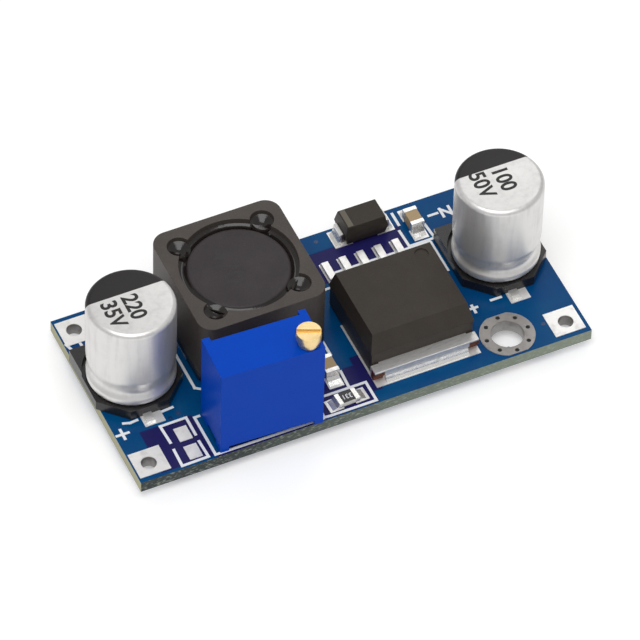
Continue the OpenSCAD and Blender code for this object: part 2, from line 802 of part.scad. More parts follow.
module chip_core(h) {
    inset = 2 * chip_end_t;
    color("#c2a06a")
        translate([0, 0, chip_end_t]) slab(chip_l - inset, chip_w - inset, h - inset);
}
module chip_ends(h) {
    inset = 2 * chip_end_t;
    color("#dddbd8")
        difference() {
            for (side = [-1, 1])
                translate([side * (chip_l - chip_end_l) / 2, 0, 0]) slab(chip_end_l, chip_w, h);
            translate([0, 0, chip_end_t]) slab(chip_l - inset, chip_w - inset, h - inset);
        }
}
module at_input_chip() {
    on_board(chip_a_x, chip_a_y, 90) translate([0, 0, land_t]) children();
}
module at_feedback_chip() {
    on_board(chip_b_x, chip_b_y, 90) translate([0, 0, land_t]) children();
}
module at_resistor() {
    on_board(chip_r_x, chip_r_y, 3) translate([0, 0, land_t]) children();
}
module input_chip_body() { at_input_chip() chip_core(chip_cap_h); }
module input_chip_ends() { at_input_chip() chip_ends(chip_cap_h); }
module feedback_chip_body() { at_feedback_chip() chip_core(chip_cap_h); }
module feedback_chip_ends() { at_feedback_chip() chip_ends(chip_cap_h); }
module resistor_body() {
    color("#e8e4da") at_resistor() chip_core(chip_res_h);
}
module resistor_ends() { at_resistor() chip_ends(chip_res_h); }
module resistor_coating() {
    color("#1d1b1b")
        at_resistor()
            translate([0, 0, chip_res_h - chip_end_t])
                slab(chip_l - 2 * chip_end_l, chip_w - 2 * chip_end_t, chip_coat_t);
}

// Lands and solder

module chip_lands() {
    for (side = [-1, 1])
        translate([side * (chip_l - chip_end_l + chip_land_out) / 2, 0, -land_t])
            slab(chip_end_l + chip_land_out, chip_land_w, land_t);
}
module capacitor_lands(x) {
    foot = cap_base_w / 2 + cap_lead_out + cap_land_out;
    for (side = [-1, 1])
        on_board(x, cap_y)
            scale([1, side, 1])
                translate([-cap_land_w / 2, cap_lead_pitch, 0])
                    cube([cap_land_w, foot - cap_lead_pitch, land_t]);
}
module component_lands() {
    foot_y = reg_l - reg_step + reg_reach - reg_foot;
    color("#e4e2dd") {
        capacitor_lands(out_cap_x);
        capacitor_lands(in_cap_x);
        for (side = [-1, 1])
            on_board(ind_x, ind_y)
                scale([side, 1, 1])
                    translate([ind_w / 2 - ind_foot_l, -ind_terminal_w / 2, 0])
                        cube([ind_foot_l, ind_terminal_w, land_t]);
        at_regulator() {
            translate([-tab_w / 2, -tab_out - tab_land_out, -land_t])
                cube([tab_w, tab_out + tab_land_out + tab_slug_l, land_t]);
            for (i = [-2 : 2])
                translate([i * reg_pitch - reg_land_w / 2, foot_y - 0.2, -land_t])
                    cube([reg_land_w, reg_foot + 0.4, land_t]);
        }
        at_diode()
            for (side = [-1, 1])
                translate([side * (diode_l / 2 + diode_lead_out - 0.35), 0, -land_t])
                    slab(1.7, 2, land_t);
        at_input_chip() chip_lands();
        at_feedback_chip() chip_lands();
        at_resistor() chip_lands();
    }
}
module spare_lands() {
    color("#eceae6")
        for (i = [0, 1])
            on_board(spare_x, front + spare_front + i * spare_pitch)
                slab(spare_w, spare_l, land_t);
}
module capacitor_fillets(x) {
    for (side = [-1, 1])
        on_board(x + cap_lead_shift, cap_y, side > 0 ? 0 : 180)
            translate([0, cap_base_w / 2 + cap_lead_out, land_t])
                toe_fillet(cap_lead_w, cap_land_out * 0.8, cap_lead_t);
}
module chip_fillets(h) {
    for (turn = [90, -90])
        rotate([0, 0, turn])
            translate([0, chip_l / 2, 0]) toe_fillet(chip_w * 0.9, chip_land_out * 0.7, h);
}
module solder_fillets() {
    color("#c4c2bf") {
        capacitor_fillets(out_cap_x);
        capacitor_fillets(in_cap_x);
        at_regulator() {
            for (i = [-2 : 2])
                translate([i * reg_pitch, reg_l - reg_step + reg_reach, 0])
                    toe_fillet(reg_lead_w, 0.18, reg_lead_t * 0.6);
            translate([0, -tab_out, 0])
                rotate([0, 0, 180])
                    toe_fillet(tab_w - 2 * tab_stub_w, tab_land_out * 0.7, tab_t * 0.4);
        }
        at_diode()
            for (turn = [90, -90])
                rotate([0, 0, turn])
                    translate([0, diode_l / 2 + diode_lead_out, 0])
                        toe_fillet(diode_lead_w, 0.4, diode_parting_z * 0.6);
        at_input_chip() chip_fillets(chip_cap_h * 0.4);
        at_feedback_chip() chip_fillets(chip_cap_h * 0.4);
        at_resistor() chip_fillets(chip_res_h * 0.8);
    }
}

// Trimmer

module at_trimmer() {
    on_board(trim_x, trim_y, trim_turn) children();
}
module cavity(z0, z1) {
    translate([-cavity_x, cavity_front, z0])
        cube([2 * cavity_x, cavity_back - cavity_front, z1 - z0]);
}
module trimmer_housing() {
    depth = trim_d - trim_rib_out;
    color("#1f58c4")
        at_trimmer()
            difference() {
                union() {
                    translate([-trim_w / 2, -trim_d / 2, 0]) cube([trim_w, depth, trim_h]);
                    for (side = [0, 1])
                        translate([
                            -trim_w / 2 + side * (trim_w - trim_rib_w), trim_back_y - eps, 0
                        ])
                            cube([trim_rib_w, trim_rib_out + eps, trim_h]);
                }
                cavity(-1, roof_z);
                // The long walls stand clear of the board between the corner feet
                translate([-trim_w / 2 + trim_foot_w, -trim_d, -1])
                    cube([trim_w - 2 * trim_foot_w, 2 * trim_d, 1 + trim_foot_h]);
                translate([-trim_w, cavity_front + trim_foot_w, -1])
                    cube([2 * trim_w, cavity_back - cavity_front - 2 * trim_foot_w, 1 + trim_foot_h]);
                translate([screw_x, screw_y, 0]) {
                    cylinder(r = screw_neck_d / 2 + screw_play, h = trim_h + 1);
                    translate([0, 0, trim_h - 2 * o_ring_t])
                        cylinder(r = o_ring_seat_r, h = 2 * o_ring_t + 1);
                }
            }
}
module trimmer_o_ring() {
    color("#141414")
        at_trimmer()
            translate([screw_x, screw_y, trim_h - 1.5 * o_ring_t])
                rotate_extrude()
                    translate([o_ring_seat_r - o_ring_t / 2, 0]) circle(d = o_ring_t);
}
module trimmer_seal() {
    color("#1a2c5c")
        at_trimmer()
            difference() {
                cavity(seal_z, seal_top);
                translate([-cavity_x - 1, element_front, seal_z - 1])
                    cube([2 * cavity_x + 2, element_t + 1, seal_t + 2]);
                for (i = [-1, 0, 1])
                    translate([i * pin_pitch, pin_y, 0]) cylinder(d = pin_d, h = seal_top + 1);
                translate([screw_x, screw_y, screw_tip_z - 0.1])
                    cylinder(d = screw_tip_d + 2 * screw_play, h = seal_top);
            }
}
module trimmer_element() {
    color("#e9e6dc")
        at_trimmer()
            translate([-cavity_x, element_front, seal_z])
                cube([2 * cavity_x, element_t, roof_z - seal_z]);
}
module trimmer_pin(i) {
    color("#d9d5c8")
        at_trimmer()
            translate([(i - 2) * pin_pitch, pin_y, -board_top])
                cylinder(d = pin_d, h = board_top + pin_up);
}
// Solder that fills the three plated holes and runs down the pins as a cone
module trimmer_pin_solder() {
    color("#c4c2bf")
        difference() {
            union() {
                at_pins() translate([0, 0, -board_t]) cylinder(d = pin_hole_d, h = board_t);
                at_pins()
                    translate([0, 0, -board_t - pin_solder_h])
                        cylinder(d1 = pin_d + 0.2, d2 = pin_solder_d, h = pin_solder_h);
            }
            at_pins() translate([0, 0, -2 * board_t - pin_drop])
                cylinder(d = pin_d, h = 3 * board_t + pin_drop);
        }
}
// Slotted brass adjusting screw: head with a tapered foot, neck, groove, shaft and bearing tip
module trimmer_screw() {
    head_top = trim_h + screw_head_up;
    head_low = trim_h + screw_play;
    head_r = screw_head_d / 2;
    neck_low = roof_z - screw_play;
    color("#d9b25a")
        at_trimmer()
            translate([screw_x, screw_y, 0])
                difference() {
                    rotate_extrude()
                        polygon([
                            [0, screw_tip_z], [screw_tip_d / 2, screw_tip_z],
                            [screw_tip_d / 2, seal_top + screw_play],
                            [screw_shaft_d / 2, seal_top + screw_play],
                            [screw_shaft_d / 2, clip_z], [clip_groove_d / 2, clip_z],
                            [clip_groove_d / 2, neck_low], [screw_neck_d / 2, neck_low],
                            [screw_neck_d / 2, head_low], [head_r - screw_taper, head_low],
                            [head_r, head_low + screw_taper_h], [head_r, head_top], [0, head_top]
                        ]);
                    translate([0, 0, head_top])
                        rotate([0, 0, screw_slot_turn - trim_turn])
                            cube([2 * screw_head_d, screw_slot_w, 2 * screw_slot_depth], center = true);
                }
}
module trimmer_retaining_ring() {
    color("#8f8f92")
        at_trimmer()
            translate([screw_x, screw_y, clip_z])
                difference() {
                    cylinder(d = clip_d, h = clip_t);
                    translate([0, 0, -1]) cylinder(d = clip_groove_d, h = clip_t + 2);
                }
}
module at_carriage() {
    at_trimmer() translate([0, 0, carriage_mid - carriage_h / 2]) children();
}
module trimmer_carriage() {
    color("#e7e2d2")
        at_carriage()
            difference() {
                translate([screw_x + carriage_side - carriage_l, screw_y - carriage_side, 0])
                    cube([carriage_l, carriage_back - screw_y + carriage_side, carriage_h]);
                translate([screw_x, screw_y, -1])
                    cylinder(r = screw_shaft_d / 2 + screw_play, h = carriage_h + 2);
            }
}
// Spring contact: a flat root on the carriage and a bent finger that reaches the element
module trimmer_wiper() {
    root_y = carriage_back + wiper_t / 2;
    tip_y = element_front - wiper_gap - wiper_t / 2;
    color("#cfa95a")
        at_carriage()
            translate([wiper_x, 0, 0])
                bent_strip(
                    [
                        [root_y, 0.1], [root_y, carriage_h / 2],
                        [tip_y, carriage_h - 0.3], [tip_y, carriage_h - 0.05]
                    ],
                    wiper_w, wiper_t, 0.12
                );
}

circuit_board();
wire_pad(1, -1);  // input_plus_pad
wire_pad(1, 1);  // input_minus_pad
wire_pad(-1, -1);  // output_plus_pad
wire_pad(-1, 1);  // output_minus_pad
fixing_ring(1);  // front_fixing_ring
fixing_ring(-1);  // rear_fixing_ring
component_lands();
spare_lands();
solder_fillets();
capacitor_can(out_cap_x);  // output_capacitor_can
capacitor_base(out_cap_x);  // output_capacitor_base
capacitor_lead(out_cap_x, -1);  // output_capacitor_plus_lead
capacitor_lead(out_cap_x, 1);  // output_capacitor_minus_lead
capacitor_can(in_cap_x);  // input_capacitor_can
capacitor_base(in_cap_x);  // input_capacitor_base
capacitor_lead(in_cap_x, -1);  // input_capacitor_plus_lead
capacitor_lead(in_cap_x, 1);  // input_capacitor_minus_lead
inductor_shield();
inductor_core();
inductor_winding();
inductor_glue();
inductor_base();
inductor_terminal(-1);  // inductor_left_terminal
inductor_terminal(1);  // inductor_right_terminal
regulator_body();
regulator_tab();
regulator_lead(1);  // regulator_lead_1
regulator_lead(2);  // regulator_lead_2
regulator_lead(3);  // regulator_lead_3
regulator_lead(4);  // regulator_lead_4
regulator_lead(5);  // regulator_lead_5
diode_body();
diode_lead(-1);  // diode_anode_lead
diode_lead(1);  // diode_cathode_lead
input_chip_body();
input_chip_ends();
feedback_chip_body();
feedback_chip_ends();
resistor_body();
resistor_coating();
resistor_ends();
trimmer_housing();
trimmer_seal();
trimmer_element();
trimmer_o_ring();
trimmer_pin(1);  // trimmer_pin_1
trimmer_pin(2);  // trimmer_pin_2
trimmer_pin(3);  // trimmer_pin_3
trimmer_pin_solder();
trimmer_screw();
trimmer_retaining_ring();
trimmer_carriage();
trimmer_wiper();
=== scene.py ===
"""Looks of an adjustable step-down converter module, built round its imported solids.

Every length in this file is in millimetres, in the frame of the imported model, and is turned
into metres where a mesh is made. Each sub-assembly of the board is a class: its fields hold
the sizes of what is added to the solids, and its methods build and dress the pieces.
"""

import json
import logging
import math
from dataclasses import dataclass, field
from enum import Enum
from typing import Any, Iterable, Sequence

import bmesh
import bpy
from mathutils import Matrix, Vector

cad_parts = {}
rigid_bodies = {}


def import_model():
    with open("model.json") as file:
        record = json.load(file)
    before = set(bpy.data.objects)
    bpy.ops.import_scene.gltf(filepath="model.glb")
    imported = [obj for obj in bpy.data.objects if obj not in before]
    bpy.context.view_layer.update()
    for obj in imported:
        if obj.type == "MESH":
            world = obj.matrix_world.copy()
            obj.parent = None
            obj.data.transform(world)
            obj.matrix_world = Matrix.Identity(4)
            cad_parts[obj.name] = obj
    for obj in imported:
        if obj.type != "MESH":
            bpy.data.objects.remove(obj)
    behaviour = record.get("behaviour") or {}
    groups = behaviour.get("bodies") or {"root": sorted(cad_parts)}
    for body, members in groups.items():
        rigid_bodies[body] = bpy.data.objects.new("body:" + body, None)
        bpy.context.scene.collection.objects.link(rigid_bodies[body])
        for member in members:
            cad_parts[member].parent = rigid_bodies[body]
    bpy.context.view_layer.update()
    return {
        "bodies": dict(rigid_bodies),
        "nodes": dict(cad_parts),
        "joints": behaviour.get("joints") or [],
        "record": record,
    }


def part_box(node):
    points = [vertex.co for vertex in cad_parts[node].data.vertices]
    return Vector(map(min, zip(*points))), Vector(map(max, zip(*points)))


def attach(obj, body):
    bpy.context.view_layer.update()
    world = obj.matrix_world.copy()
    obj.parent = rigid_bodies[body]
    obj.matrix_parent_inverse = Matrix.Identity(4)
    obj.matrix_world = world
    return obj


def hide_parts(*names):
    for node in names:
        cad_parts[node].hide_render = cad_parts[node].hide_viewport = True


MM = 0.001
ROOT = "converter"
LOG = logging.getLogger("converter")

Colour = tuple[float, float, float]
Point2 = tuple[float, float]
Point3 = tuple[float, float, float]
Area = tuple[float, float, float, float]


# ---------------------------------------------------------------- shader arithmetic


class Shade:
    """One output of a shader node, with the arithmetic that the finishes use."""

    def __init__(self, graph: "Graph", socket: bpy.types.NodeSocket) -> None:
        """Wraps a socket.

        Args:
            graph: The graph that new Math nodes are added to.
            socket: The output socket that carries the value.
        """
        self.graph = graph
        self.socket = socket

    def math(self, operation: str, *others: "Shade | float", first: "Shade | float | None" = None) -> "Shade":
        """Adds a Math node.

        Args:
            operation: Name of the node's operation.
            *others: The second and third operands.
            first: The first operand, where it isn't this value.

        Returns:
            The node's result.
        """
        start = self if first is None else first
        values = dict(enumerate((start, *others)))
        return self.graph.add("ShaderNodeMath", {"operation": operation}, values)

    def __add__(self, other: "Shade | float") -> "Shade":
        """Sum."""
        return self.math("ADD", other)

    def __sub__(self, other: "Shade | float") -> "Shade":
        """Difference."""
        return self.math("SUBTRACT", other)

    def __mul__(self, other: "Shade | float") -> "Shade":
        """Product."""
        return self.math("MULTIPLY", other)

    def __truediv__(self, other: "Shade | float") -> "Shade":
        """Quotient."""
        return self.math("DIVIDE", other)

    def __rsub__(self, other: float) -> "Shade":
        """Difference from a plain number."""
        return self.math("SUBTRACT", self, first=other)

    def __rtruediv__(self, other: float) -> "Shade":
        """Quotient of a plain number."""
        return self.math("DIVIDE", self, first=other)

    __radd__ = __add__
    __rmul__ = __mul__

    def __neg__(self) -> "Shade":
        """The value with its sign changed."""
        return self.math("MULTIPLY", -1.0)

    def __abs__(self) -> "Shade":
        """The value without its sign."""
        return self.math("ABSOLUTE")

    def __pow__(self, other: float) -> "Shade":
        """Power."""
        return self.math("POWER", other)

    def highest(self, other: "Shade | float") -> "Shade":
        """The larger of two values."""
        return self.math("MAXIMUM", other)

    def lowest(self, other: "Shade | float") -> "Shade":
        """The smaller of two values."""
        return self.math("MINIMUM", other)

    def sine(self) -> "Shade":
        """Sine of the value."""
        return self.math("SINE")

    def step(self, low: float, high: float, start: float = 0.0, end: float = 1.0) -> "Shade":
        """Smooth step.

        Args:
            low: Value at which the result is still start.
            high: Value from which the result is end.
            start: Result below low.
            end: Result above high.

        Returns:
            The eased value.
        """
        settings = {"interpolation_type": "SMOOTHSTEP"}
        values = {"Value": self, "From Min": low, "From Max": high, "To Min": start, "To Max": end}
        return self.graph.add("ShaderNodeMapRange", settings, values)


class Graph:
    """Node graph of one material."""

    def __init__(self, name: str) -> None:
        """Makes an empty material.

        Args:
            name: Name of the material.
        """
        self.material = bpy.data.materials.new(name)
        self.material.use_nodes = True
        self.tree = self.material.node_tree
        self.tree.nodes.clear()
        self._place: Shade | None = None

    def add(
        self,
        kind: str,
        settings: dict[str, Any] | None = None,
        values: dict[int | str, Any] | None = None,
        out: int | str = 0,
    ) -> Shade:
        """Adds any node.

        Args:
            kind: Type of the node.
            settings: The node's own properties, and "stops" for the stops of a colour ramp.
            values: Number, colour or Shade of each input socket, by name or place.
            out: The output that is returned.

        Returns:
            The chosen output.
        """
        node = self.tree.nodes.new(kind)
        for key, value in (settings or {}).items():
            if key == "stops":
                self._set_stops(node.color_ramp, value)
            else:
                setattr(node, key, value)
        for key, value in (values or {}).items():
            socket = node.inputs[key]
            if isinstance(value, Shade):
                self.tree.links.new(value.socket, socket)
            elif isinstance(value, tuple) and len(value) == 3 and socket.type == "RGBA":
                socket.default_value = (*value, 1.0)
            else:
                socket.default_value = value
        return Shade(self, node.outputs[out])

    @staticmethod
    def _set_stops(ramp: bpy.types.ColorRamp, stops: Sequence[tuple[float, Colour]]) -> None:
        """Sets the stops of a colour ramp.

        Args:
            ramp: The ramp.
            stops: Position and colour of each stop, in order.
        """
        while len(ramp.elements) < len(stops):
            ramp.elements.new(0.5)
        for element, (position, colour) in zip(ramp.elements, stops):
            element.position = position
            element.color = (*colour, 1.0)

    def place(self) -> Shade:
        """Object coordinates in millimetres."""
        if self._place is None:
            metres = self.add("ShaderNodeTexCoord", out="Object")
            self._place = self.vector("SCALE", metres, {"Scale": 1 / MM})
        return self._place

    def axes(self, vector: Shade | None = None) -> tuple[Shade, Shade, Shade]:
        """The three parts of a vector, by default of the place in millimetres."""
        source = vector or self.place()
        split = self.add("ShaderNodeSeparateXYZ", values={0: source})
        outputs = split.socket.node.outputs
        return Shade(self, outputs[0]), Shade(self, outputs[1]), Shade(self, outputs[2])

    def vector(self, operation: str, first: Shade, values: dict[int | str, Any]) -> Shade:
        """Adds a Vector Math node.

        Args:
            operation: Name of the node's operation.
            first: The first operand.
            values: The other sockets.

        Returns:
            The resulting vector.
        """
        return self.add("ShaderNodeVectorMath", {"operation": operation}, {0: first, **values})

    def stretched(self, scale: Point3) -> Shade:
        """The place with each axis scaled, which draws a pattern out along the small ones."""
        return self.vector("MULTIPLY", self.place(), {1: scale})

    def noise(self, size: float, detail: float = 3.0, vector: Shade | None = None, rough: float = 0.55) -> Shade:
        """Noise.

        Args:
            size: Size of its features in millimetres.
            detail: Number of finer octaves.
            vector: Coordinates in millimetres, where they aren't the plain place.
            rough: Strength of the finer octaves.

        Returns:
            A value round one half.
        """
        values = {"Vector": vector or self.place(), "Scale": 1 / size, "Detail": detail, "Roughness": rough}
        return self.add("ShaderNodeTexNoise", None, values, "Fac")

    def cells(self, size: float, vector: Shade | None = None) -> Shade:
        """Distance to the nearest point of a random set whose points are about size apart."""
        values = {"Vector": vector or self.place(), "Scale": 1 / size}
        return self.add("ShaderNodeTexVoronoi", None, values, "Distance")

    def mix(self, factor: Shade | float, low: Shade | Colour, high: Shade | Colour) -> Shade:
        """Mixes two colours.

        Args:
            factor: Share of the second colour.
            low: Colour at 0.
            high: Colour at 1.

        Returns:
            The mixed colour.
        """
        settings = {"data_type": "RGBA", "clamp_factor": True}
        return self.add("ShaderNodeMix", settings, {0: factor, 6: low, 7: high}, 2)

    def bump(self, height: Shade, distance: float, strength: float = 1.0) -> Shade:
        """Normal of a relief.

        Args:
            height: Height of the relief, from 0 to 1.
            distance: Depth of the relief in millimetres.
            strength: Share of the relief that shows.

        Returns:
            The bent normal.
        """
        values = {"Strength": strength, "Distance": distance * MM, "Height": height}
        return self.add("ShaderNodeBump", None, values)

    def rectangle(self, x: Shade, y: Shade, area: Area, soft: float = 0.08) -> Shade:
        """Mask of an upright rectangle.

        Args:
            x: Place along X.
            y: Place along Y.
            area: Lowest X, lowest Y, highest X and highest Y.
            soft: Width of its blurred edge.

        Returns:
            1 inside and 0 outside.
        """
        x0, y0, x1, y1 = area
        across = abs(x - (x0 + x1) / 2) - (x1 - x0) / 2
        along = abs(y - (y0 + y1) / 2) - (y1 - y0) / 2
        return across.highest(along).step(-soft / 2, soft / 2, 1.0, 0.0)

    def finish(
        self,
        colour: Shade | Colour,
        rough: Shade | float,
        metal: Shade | float = 0.0,
        normal: Shade | None = None,
        coat: Shade | float = 0.0,
        fixed: dict[str, Any] | None = None,
    ) -> bpy.types.Material:
        """Closes the graph with a Principled surface.

        Args:
            colour: Base colour.
            rough: Roughness.
            metal: Metallic share.
            normal: Bent normal.
            coat: Weight of the clear coat.
            fixed: Other sockets, which stay the same all over.

        Returns:
            The material.
        """
        values: dict[int | str, Any] = {
            "Base Color": colour,
            "Roughness": rough,
            "Metallic": metal,
            "Coat Weight": coat,
            **(fixed or {}),
        }
        if normal is not None:
            values["Normal"] = normal
        return self.close(self.add("ShaderNodeBsdfPrincipled", None, values))

    def close(self, surface: Shade) -> bpy.types.Material:
        """Links a shader to the material's output and returns the material."""
        output = self.tree.nodes.new("ShaderNodeOutputMaterial")
        self.tree.links.new(surface.socket, output.inputs["Surface"])
        return self.material


# ---------------------------------------------------------------- finishes


@dataclass(frozen=True)
class Metal:
    """Bare or plated metal with a fine grain and soft clouds of wear.

    Attributes:
        name: Name of the material.
        colour: Colour of the clean metal.
        dull: Colour of its tarnished spots.
        rough: Mean roughness.
        grain: Size of the grain in millimetres.
        relief: Depth of the grain in millimetres.
        drawn: Scale of each axis of the grain, which draws it out along the small ones.
        tarnish: Share of the dull colour at most.
        metal: Metallic share, below 1 where the surface is etched or lacquered.
    """

    name: str
    colour: Colour
    dull: Colour
    rough: float = 0.3
    grain: float = 0.25
    relief: float = 0.01
    drawn: Point3 = (1.0, 1.0, 1.0)
    tarnish: float = 0.6
    metal: float = 1.0

    def build(self) -> bpy.types.Material:
        """The material."""
        g = Graph(self.name)
        cloud = g.noise(1.3, 4.0)
        grain = g.noise(self.grain, 3.0, g.stretched(self.drawn))
        worn = cloud.step(0.45, 0.75) * self.tarnish
        colour = g.mix(worn, self.colour, self.dull)
        rough = self.rough + (grain - 0.5) * 0.25 + worn * 0.15
        return g.finish(colour, rough, self.metal, g.bump(grain, self.relief, 0.6))


@dataclass(frozen=True)
class CanSkin:
    """Drawn aluminium can with a satin skin and one black segment printed on its top.

    Attributes:
        name: Name of the material.
        centre: Axis of the can.
        top: Height of its top.
        edge: Distance of the straight side of the black segment behind the axis.
        skin: Colour of the aluminium.
        shade: Colour of its darker streaks.
        print_colour: Colour of the black segment.
        print_depth: How far the print reaches down over the shoulder.
    """

    name: str
    centre: Point2
    top: float
    edge: float
    skin: Colour = (0.76, 0.75, 0.735)
    shade: Colour = (0.56, 0.55, 0.54)
    print_colour: Colour = (0.006, 0.004, 0.004)
    print_depth: float = 0.42

    def build(self) -> bpy.types.Material:
        """The material."""
        g = Graph(self.name)
        _, y, z = g.axes()
        streak = g.noise(0.5, 4.0, g.stretched((1.0, 1.0, 0.12)))
        cloud = g.noise(1.8, 3.0)
        fine = g.noise(0.07, 2.0)
        behind = (y - (self.centre[1] + self.edge)).step(-0.012, 0.012)
        printed = behind * (z - self.top + self.print_depth).step(-0.03, 0.03)
        worn = (streak * 0.6 + cloud * 0.4).step(0.42, 0.72) * 0.5
        colour = g.mix(printed, g.mix(worn, self.skin, self.shade), self.print_colour)
        rough = 0.4 + (cloud - 0.5) * 0.12 + (fine - 0.5) * 0.1 + printed * 0.06
        metal = (1 - printed) * 0.72
        return g.finish(colour, rough, metal, g.bump(fine * 0.5 + streak * 0.5, 0.005, 0.6))


@dataclass(frozen=True)
class CutTab:
    """Tinned copper tab whose sheared ends show the copper.

    Attributes:
        name: Name of the material.
        low: Lowest corner of the tab.
        high: Highest corner of the tab.
        stub: Width of the sheared ends.
        lip: Thickness of the tin that stays above the copper.
    """

    name: str
    low: Point3
    high: Point3
    stub: float = 0.95
    lip: float = 0.16

    def build(self) -> bpy.types.Material:
        """The material."""
        g = Graph(self.name)
        x, y, z = g.axes()
        middle, half = (self.low[0] + self.high[0]) / 2, (self.high[0] - self.low[0]) / 2
        ends = (abs(x - middle) - (half - self.stub)).step(-0.05, 0.05)
        front = (self.low[1] + 0.75 - y).step(-0.05, 0.05)
        torn = g.noise(0.18, 3.0)
        cut = ends * front * (self.high[2] - self.lip - z + (torn - 0.5) * 0.12).step(-0.02, 0.02)
        brushed = g.noise(0.22, 4.0, g.stretched((0.25, 1.0, 1.0)))
        tin = g.mix(brushed.step(0.35, 0.8), (0.90, 0.89, 0.87), (0.68, 0.67, 0.65))
        copper = g.mix(torn, (0.07, 0.022, 0.012), (0.30, 0.11, 0.06))
        rough = 0.34 + (brushed - 0.5) * 0.2 + cut * 0.15
        return g.finish(g.mix(cut, tin, copper), rough, 0.75, g.bump(brushed, 0.008, 0.6))


@dataclass(frozen=True)
class Solder:
    """Solder: bright, wavy where it froze, and dull where flux is left.

    Attributes:
        name: Name of the material.
        bright: Colour of clean solder.
        dull: Colour of the frosted patches.
        wave: Depth of the waves in millimetres.
        rough: Roughness of clean solder.
        metal: Metallic share, below 1 under a film of flux.
    """

    name: str
    bright: Colour = (0.88, 0.87, 0.84)
    dull: Colour = (0.50, 0.49, 0.46)
    wave: float = 0.05
    rough: float = 0.24
    metal: float = 0.75

    def build(self) -> bpy.types.Material:
        """The material."""
        g = Graph(self.name)
        wave = g.noise(1.1, 1.0)
        frost = g.noise(0.2, 3.0)
        patch = g.noise(0.9, 3.0).step(0.5, 0.8)
        colour = g.mix(patch * 0.5 + frost * 0.15, self.bright, self.dull)
        rough = self.rough + patch * 0.15 + (frost - 0.5) * 0.15
        height = wave * 0.9 + frost * 0.1
        return g.finish(colour, rough, self.metal, g.bump(height, self.wave, 0.8))


@dataclass(frozen=True)
class Moulded:
    """Moulded plastic or cast resin with a fine skin texture.

    Attributes:
        name: Name of the material.
        colour: Colour of the resin.
        pale: Colour of the filler that shows through in specks.
        rough: Mean roughness.
        skin: Size of the skin texture in millimetres.
        relief: Depth of the skin texture in millimetres.
        specks: Share of the pale colour in the specks.
        shine: Specular level.
    """

    name: str
    colour: Colour
    pale: Colour
    rough: float = 0.45
    skin: float = 0.09
    relief: float = 0.012
    specks: float = 0.35
    shine: float = 0.5

    def build(self) -> bpy.types.Material:
        """The material."""
        g = Graph(self.name)
        skin = g.noise(self.skin, 3.0)
        cloud = g.noise(2.2, 4.0)
        specks = g.cells(self.skin * 2.2).step(0.32, 0.12) * self.specks
        shaded = g.mix((cloud - 0.35) * 0.5, self.colour, self.pale)
        colour = g.mix(specks, shaded, self.pale)
        rough = self.rough + (skin - 0.5) * 0.2 + (cloud - 0.5) * 0.1
        fixed = {"Specular IOR Level": self.shine}
        return g.finish(colour, rough, 0.0, g.bump(skin, self.relief, 0.7), fixed=fixed)


@dataclass(frozen=True)
class Ink:
    """Printed ink, worn thin in places.

    Attributes:
        name: Name of the material.
        colour: Colour of the ink.
        worn: Colour where it is thin.
        rough: Roughness.
    """

    name: str
    colour: Colour
    worn: Colour
    rough: float = 0.5

    def build(self) -> bpy.types.Material:
        """The material."""
        g = Graph(self.name)
        thin = g.noise(0.12, 4.0).step(0.55, 0.8) * 0.7
        rough = self.rough + thin * 0.2
        return g.finish(g.mix(thin, self.colour, self.worn), rough, 0.0, g.bump(g.noise(0.08), 0.004, 0.5))


@dataclass(frozen=True)
class SolderMask:
    """Circuit board: glossy mask over copper and over bare laminate, and cut glass-fibre edges, with painted shade on
    the long ones.

    Attributes:
        name: Name of the material.
        low: Lowest corner of the board.
        high: Highest corner of the board.
        gaps: Rectangles without copper: lowest X and Y, highest X and Y.
        on_copper: Colour of the mask where copper lies under it.
        thin: Colour of the mask where it is thin.
        on_laminate: Colour of the mask over bare laminate.
        long_cut_shade: Painted shade of the long cut edges: their colours at the output end and at the input end,
            darkest at the output end.
        short_edge: Colour of the short cut edges.
        fibre: Colour of the cut glass fibre.
    """

    name: str
    low: Point3
    high: Point3
    gaps: tuple[Area, ...]
    on_copper: Colour = (0.0, 0.054, 0.185)
    thin: Colour = (0.0, 0.078, 0.200)
    on_laminate: Colour = (0.016, 0.014, 0.098)
    long_cut_shade: tuple[Colour, Colour] = ((0.055, 0.066, 0.066), (0.27, 0.31, 0.25))
    short_edge: Colour = (0.50, 0.48, 0.31)
    fibre: Colour = (0.50, 0.55, 0.46)

    def build(self) -> bpy.types.Material:
        """The material."""
        g = Graph(self.name)
        x, y, z = g.axes()
        gap = g.rectangle(x, y, self.gaps[0], 0.14)
        for area in self.gaps[1:]:
            gap = gap.highest(g.rectangle(x, y, area, 0.14))
        cloud = g.noise(3.5, 3.0)
        weave = (x * 9.0).sine() * (y * 9.0).sine()
        masked = g.mix(cloud.step(0.35, 0.75) * 0.6, self.on_copper, self.thin)
        masked = g.mix(gap, masked, self.on_laminate)
        masked = g.mix((g.noise(0.3, 4.0) - 0.5) * 0.3, masked, (0.0, 0.02, 0.07))
        fibre = g.noise(0.2, 4.0, g.stretched((0.5, 0.5, 1.4)))
        # Painted shade: the long cut edges darken from the input end towards the output end.
        edge = g.mix((x + cloud * 8.0).step(-12.0, 24.0), *self.long_cut_shade)
        ends = (abs(x) - (self.high[0] - 0.03)).step(0.0, 0.02)
        edge = g.mix(ends, edge, self.short_edge)
        edge = g.mix(fibre.step(0.5, 0.72) * 0.55, edge, self.fibre)
        faces = (z - self.high[2] + 0.03).step(0.0, 0.02).highest((self.low[2] + 0.03 - z).step(0.0, 0.02))
        colour = g.mix(faces, edge, masked)
        rough = 0.6 - faces * 0.36 + (fibre - 0.5) * 0.1
        height = (1 - gap * 0.6 + weave * 0.03 + cloud * 0.1) * faces + fibre * (1 - faces)
        fixed = {"Specular IOR Level": 0.1}
        return g.finish(colour, rough, 0.0, g.bump(height, 0.03, 0.6), fixed=fixed)


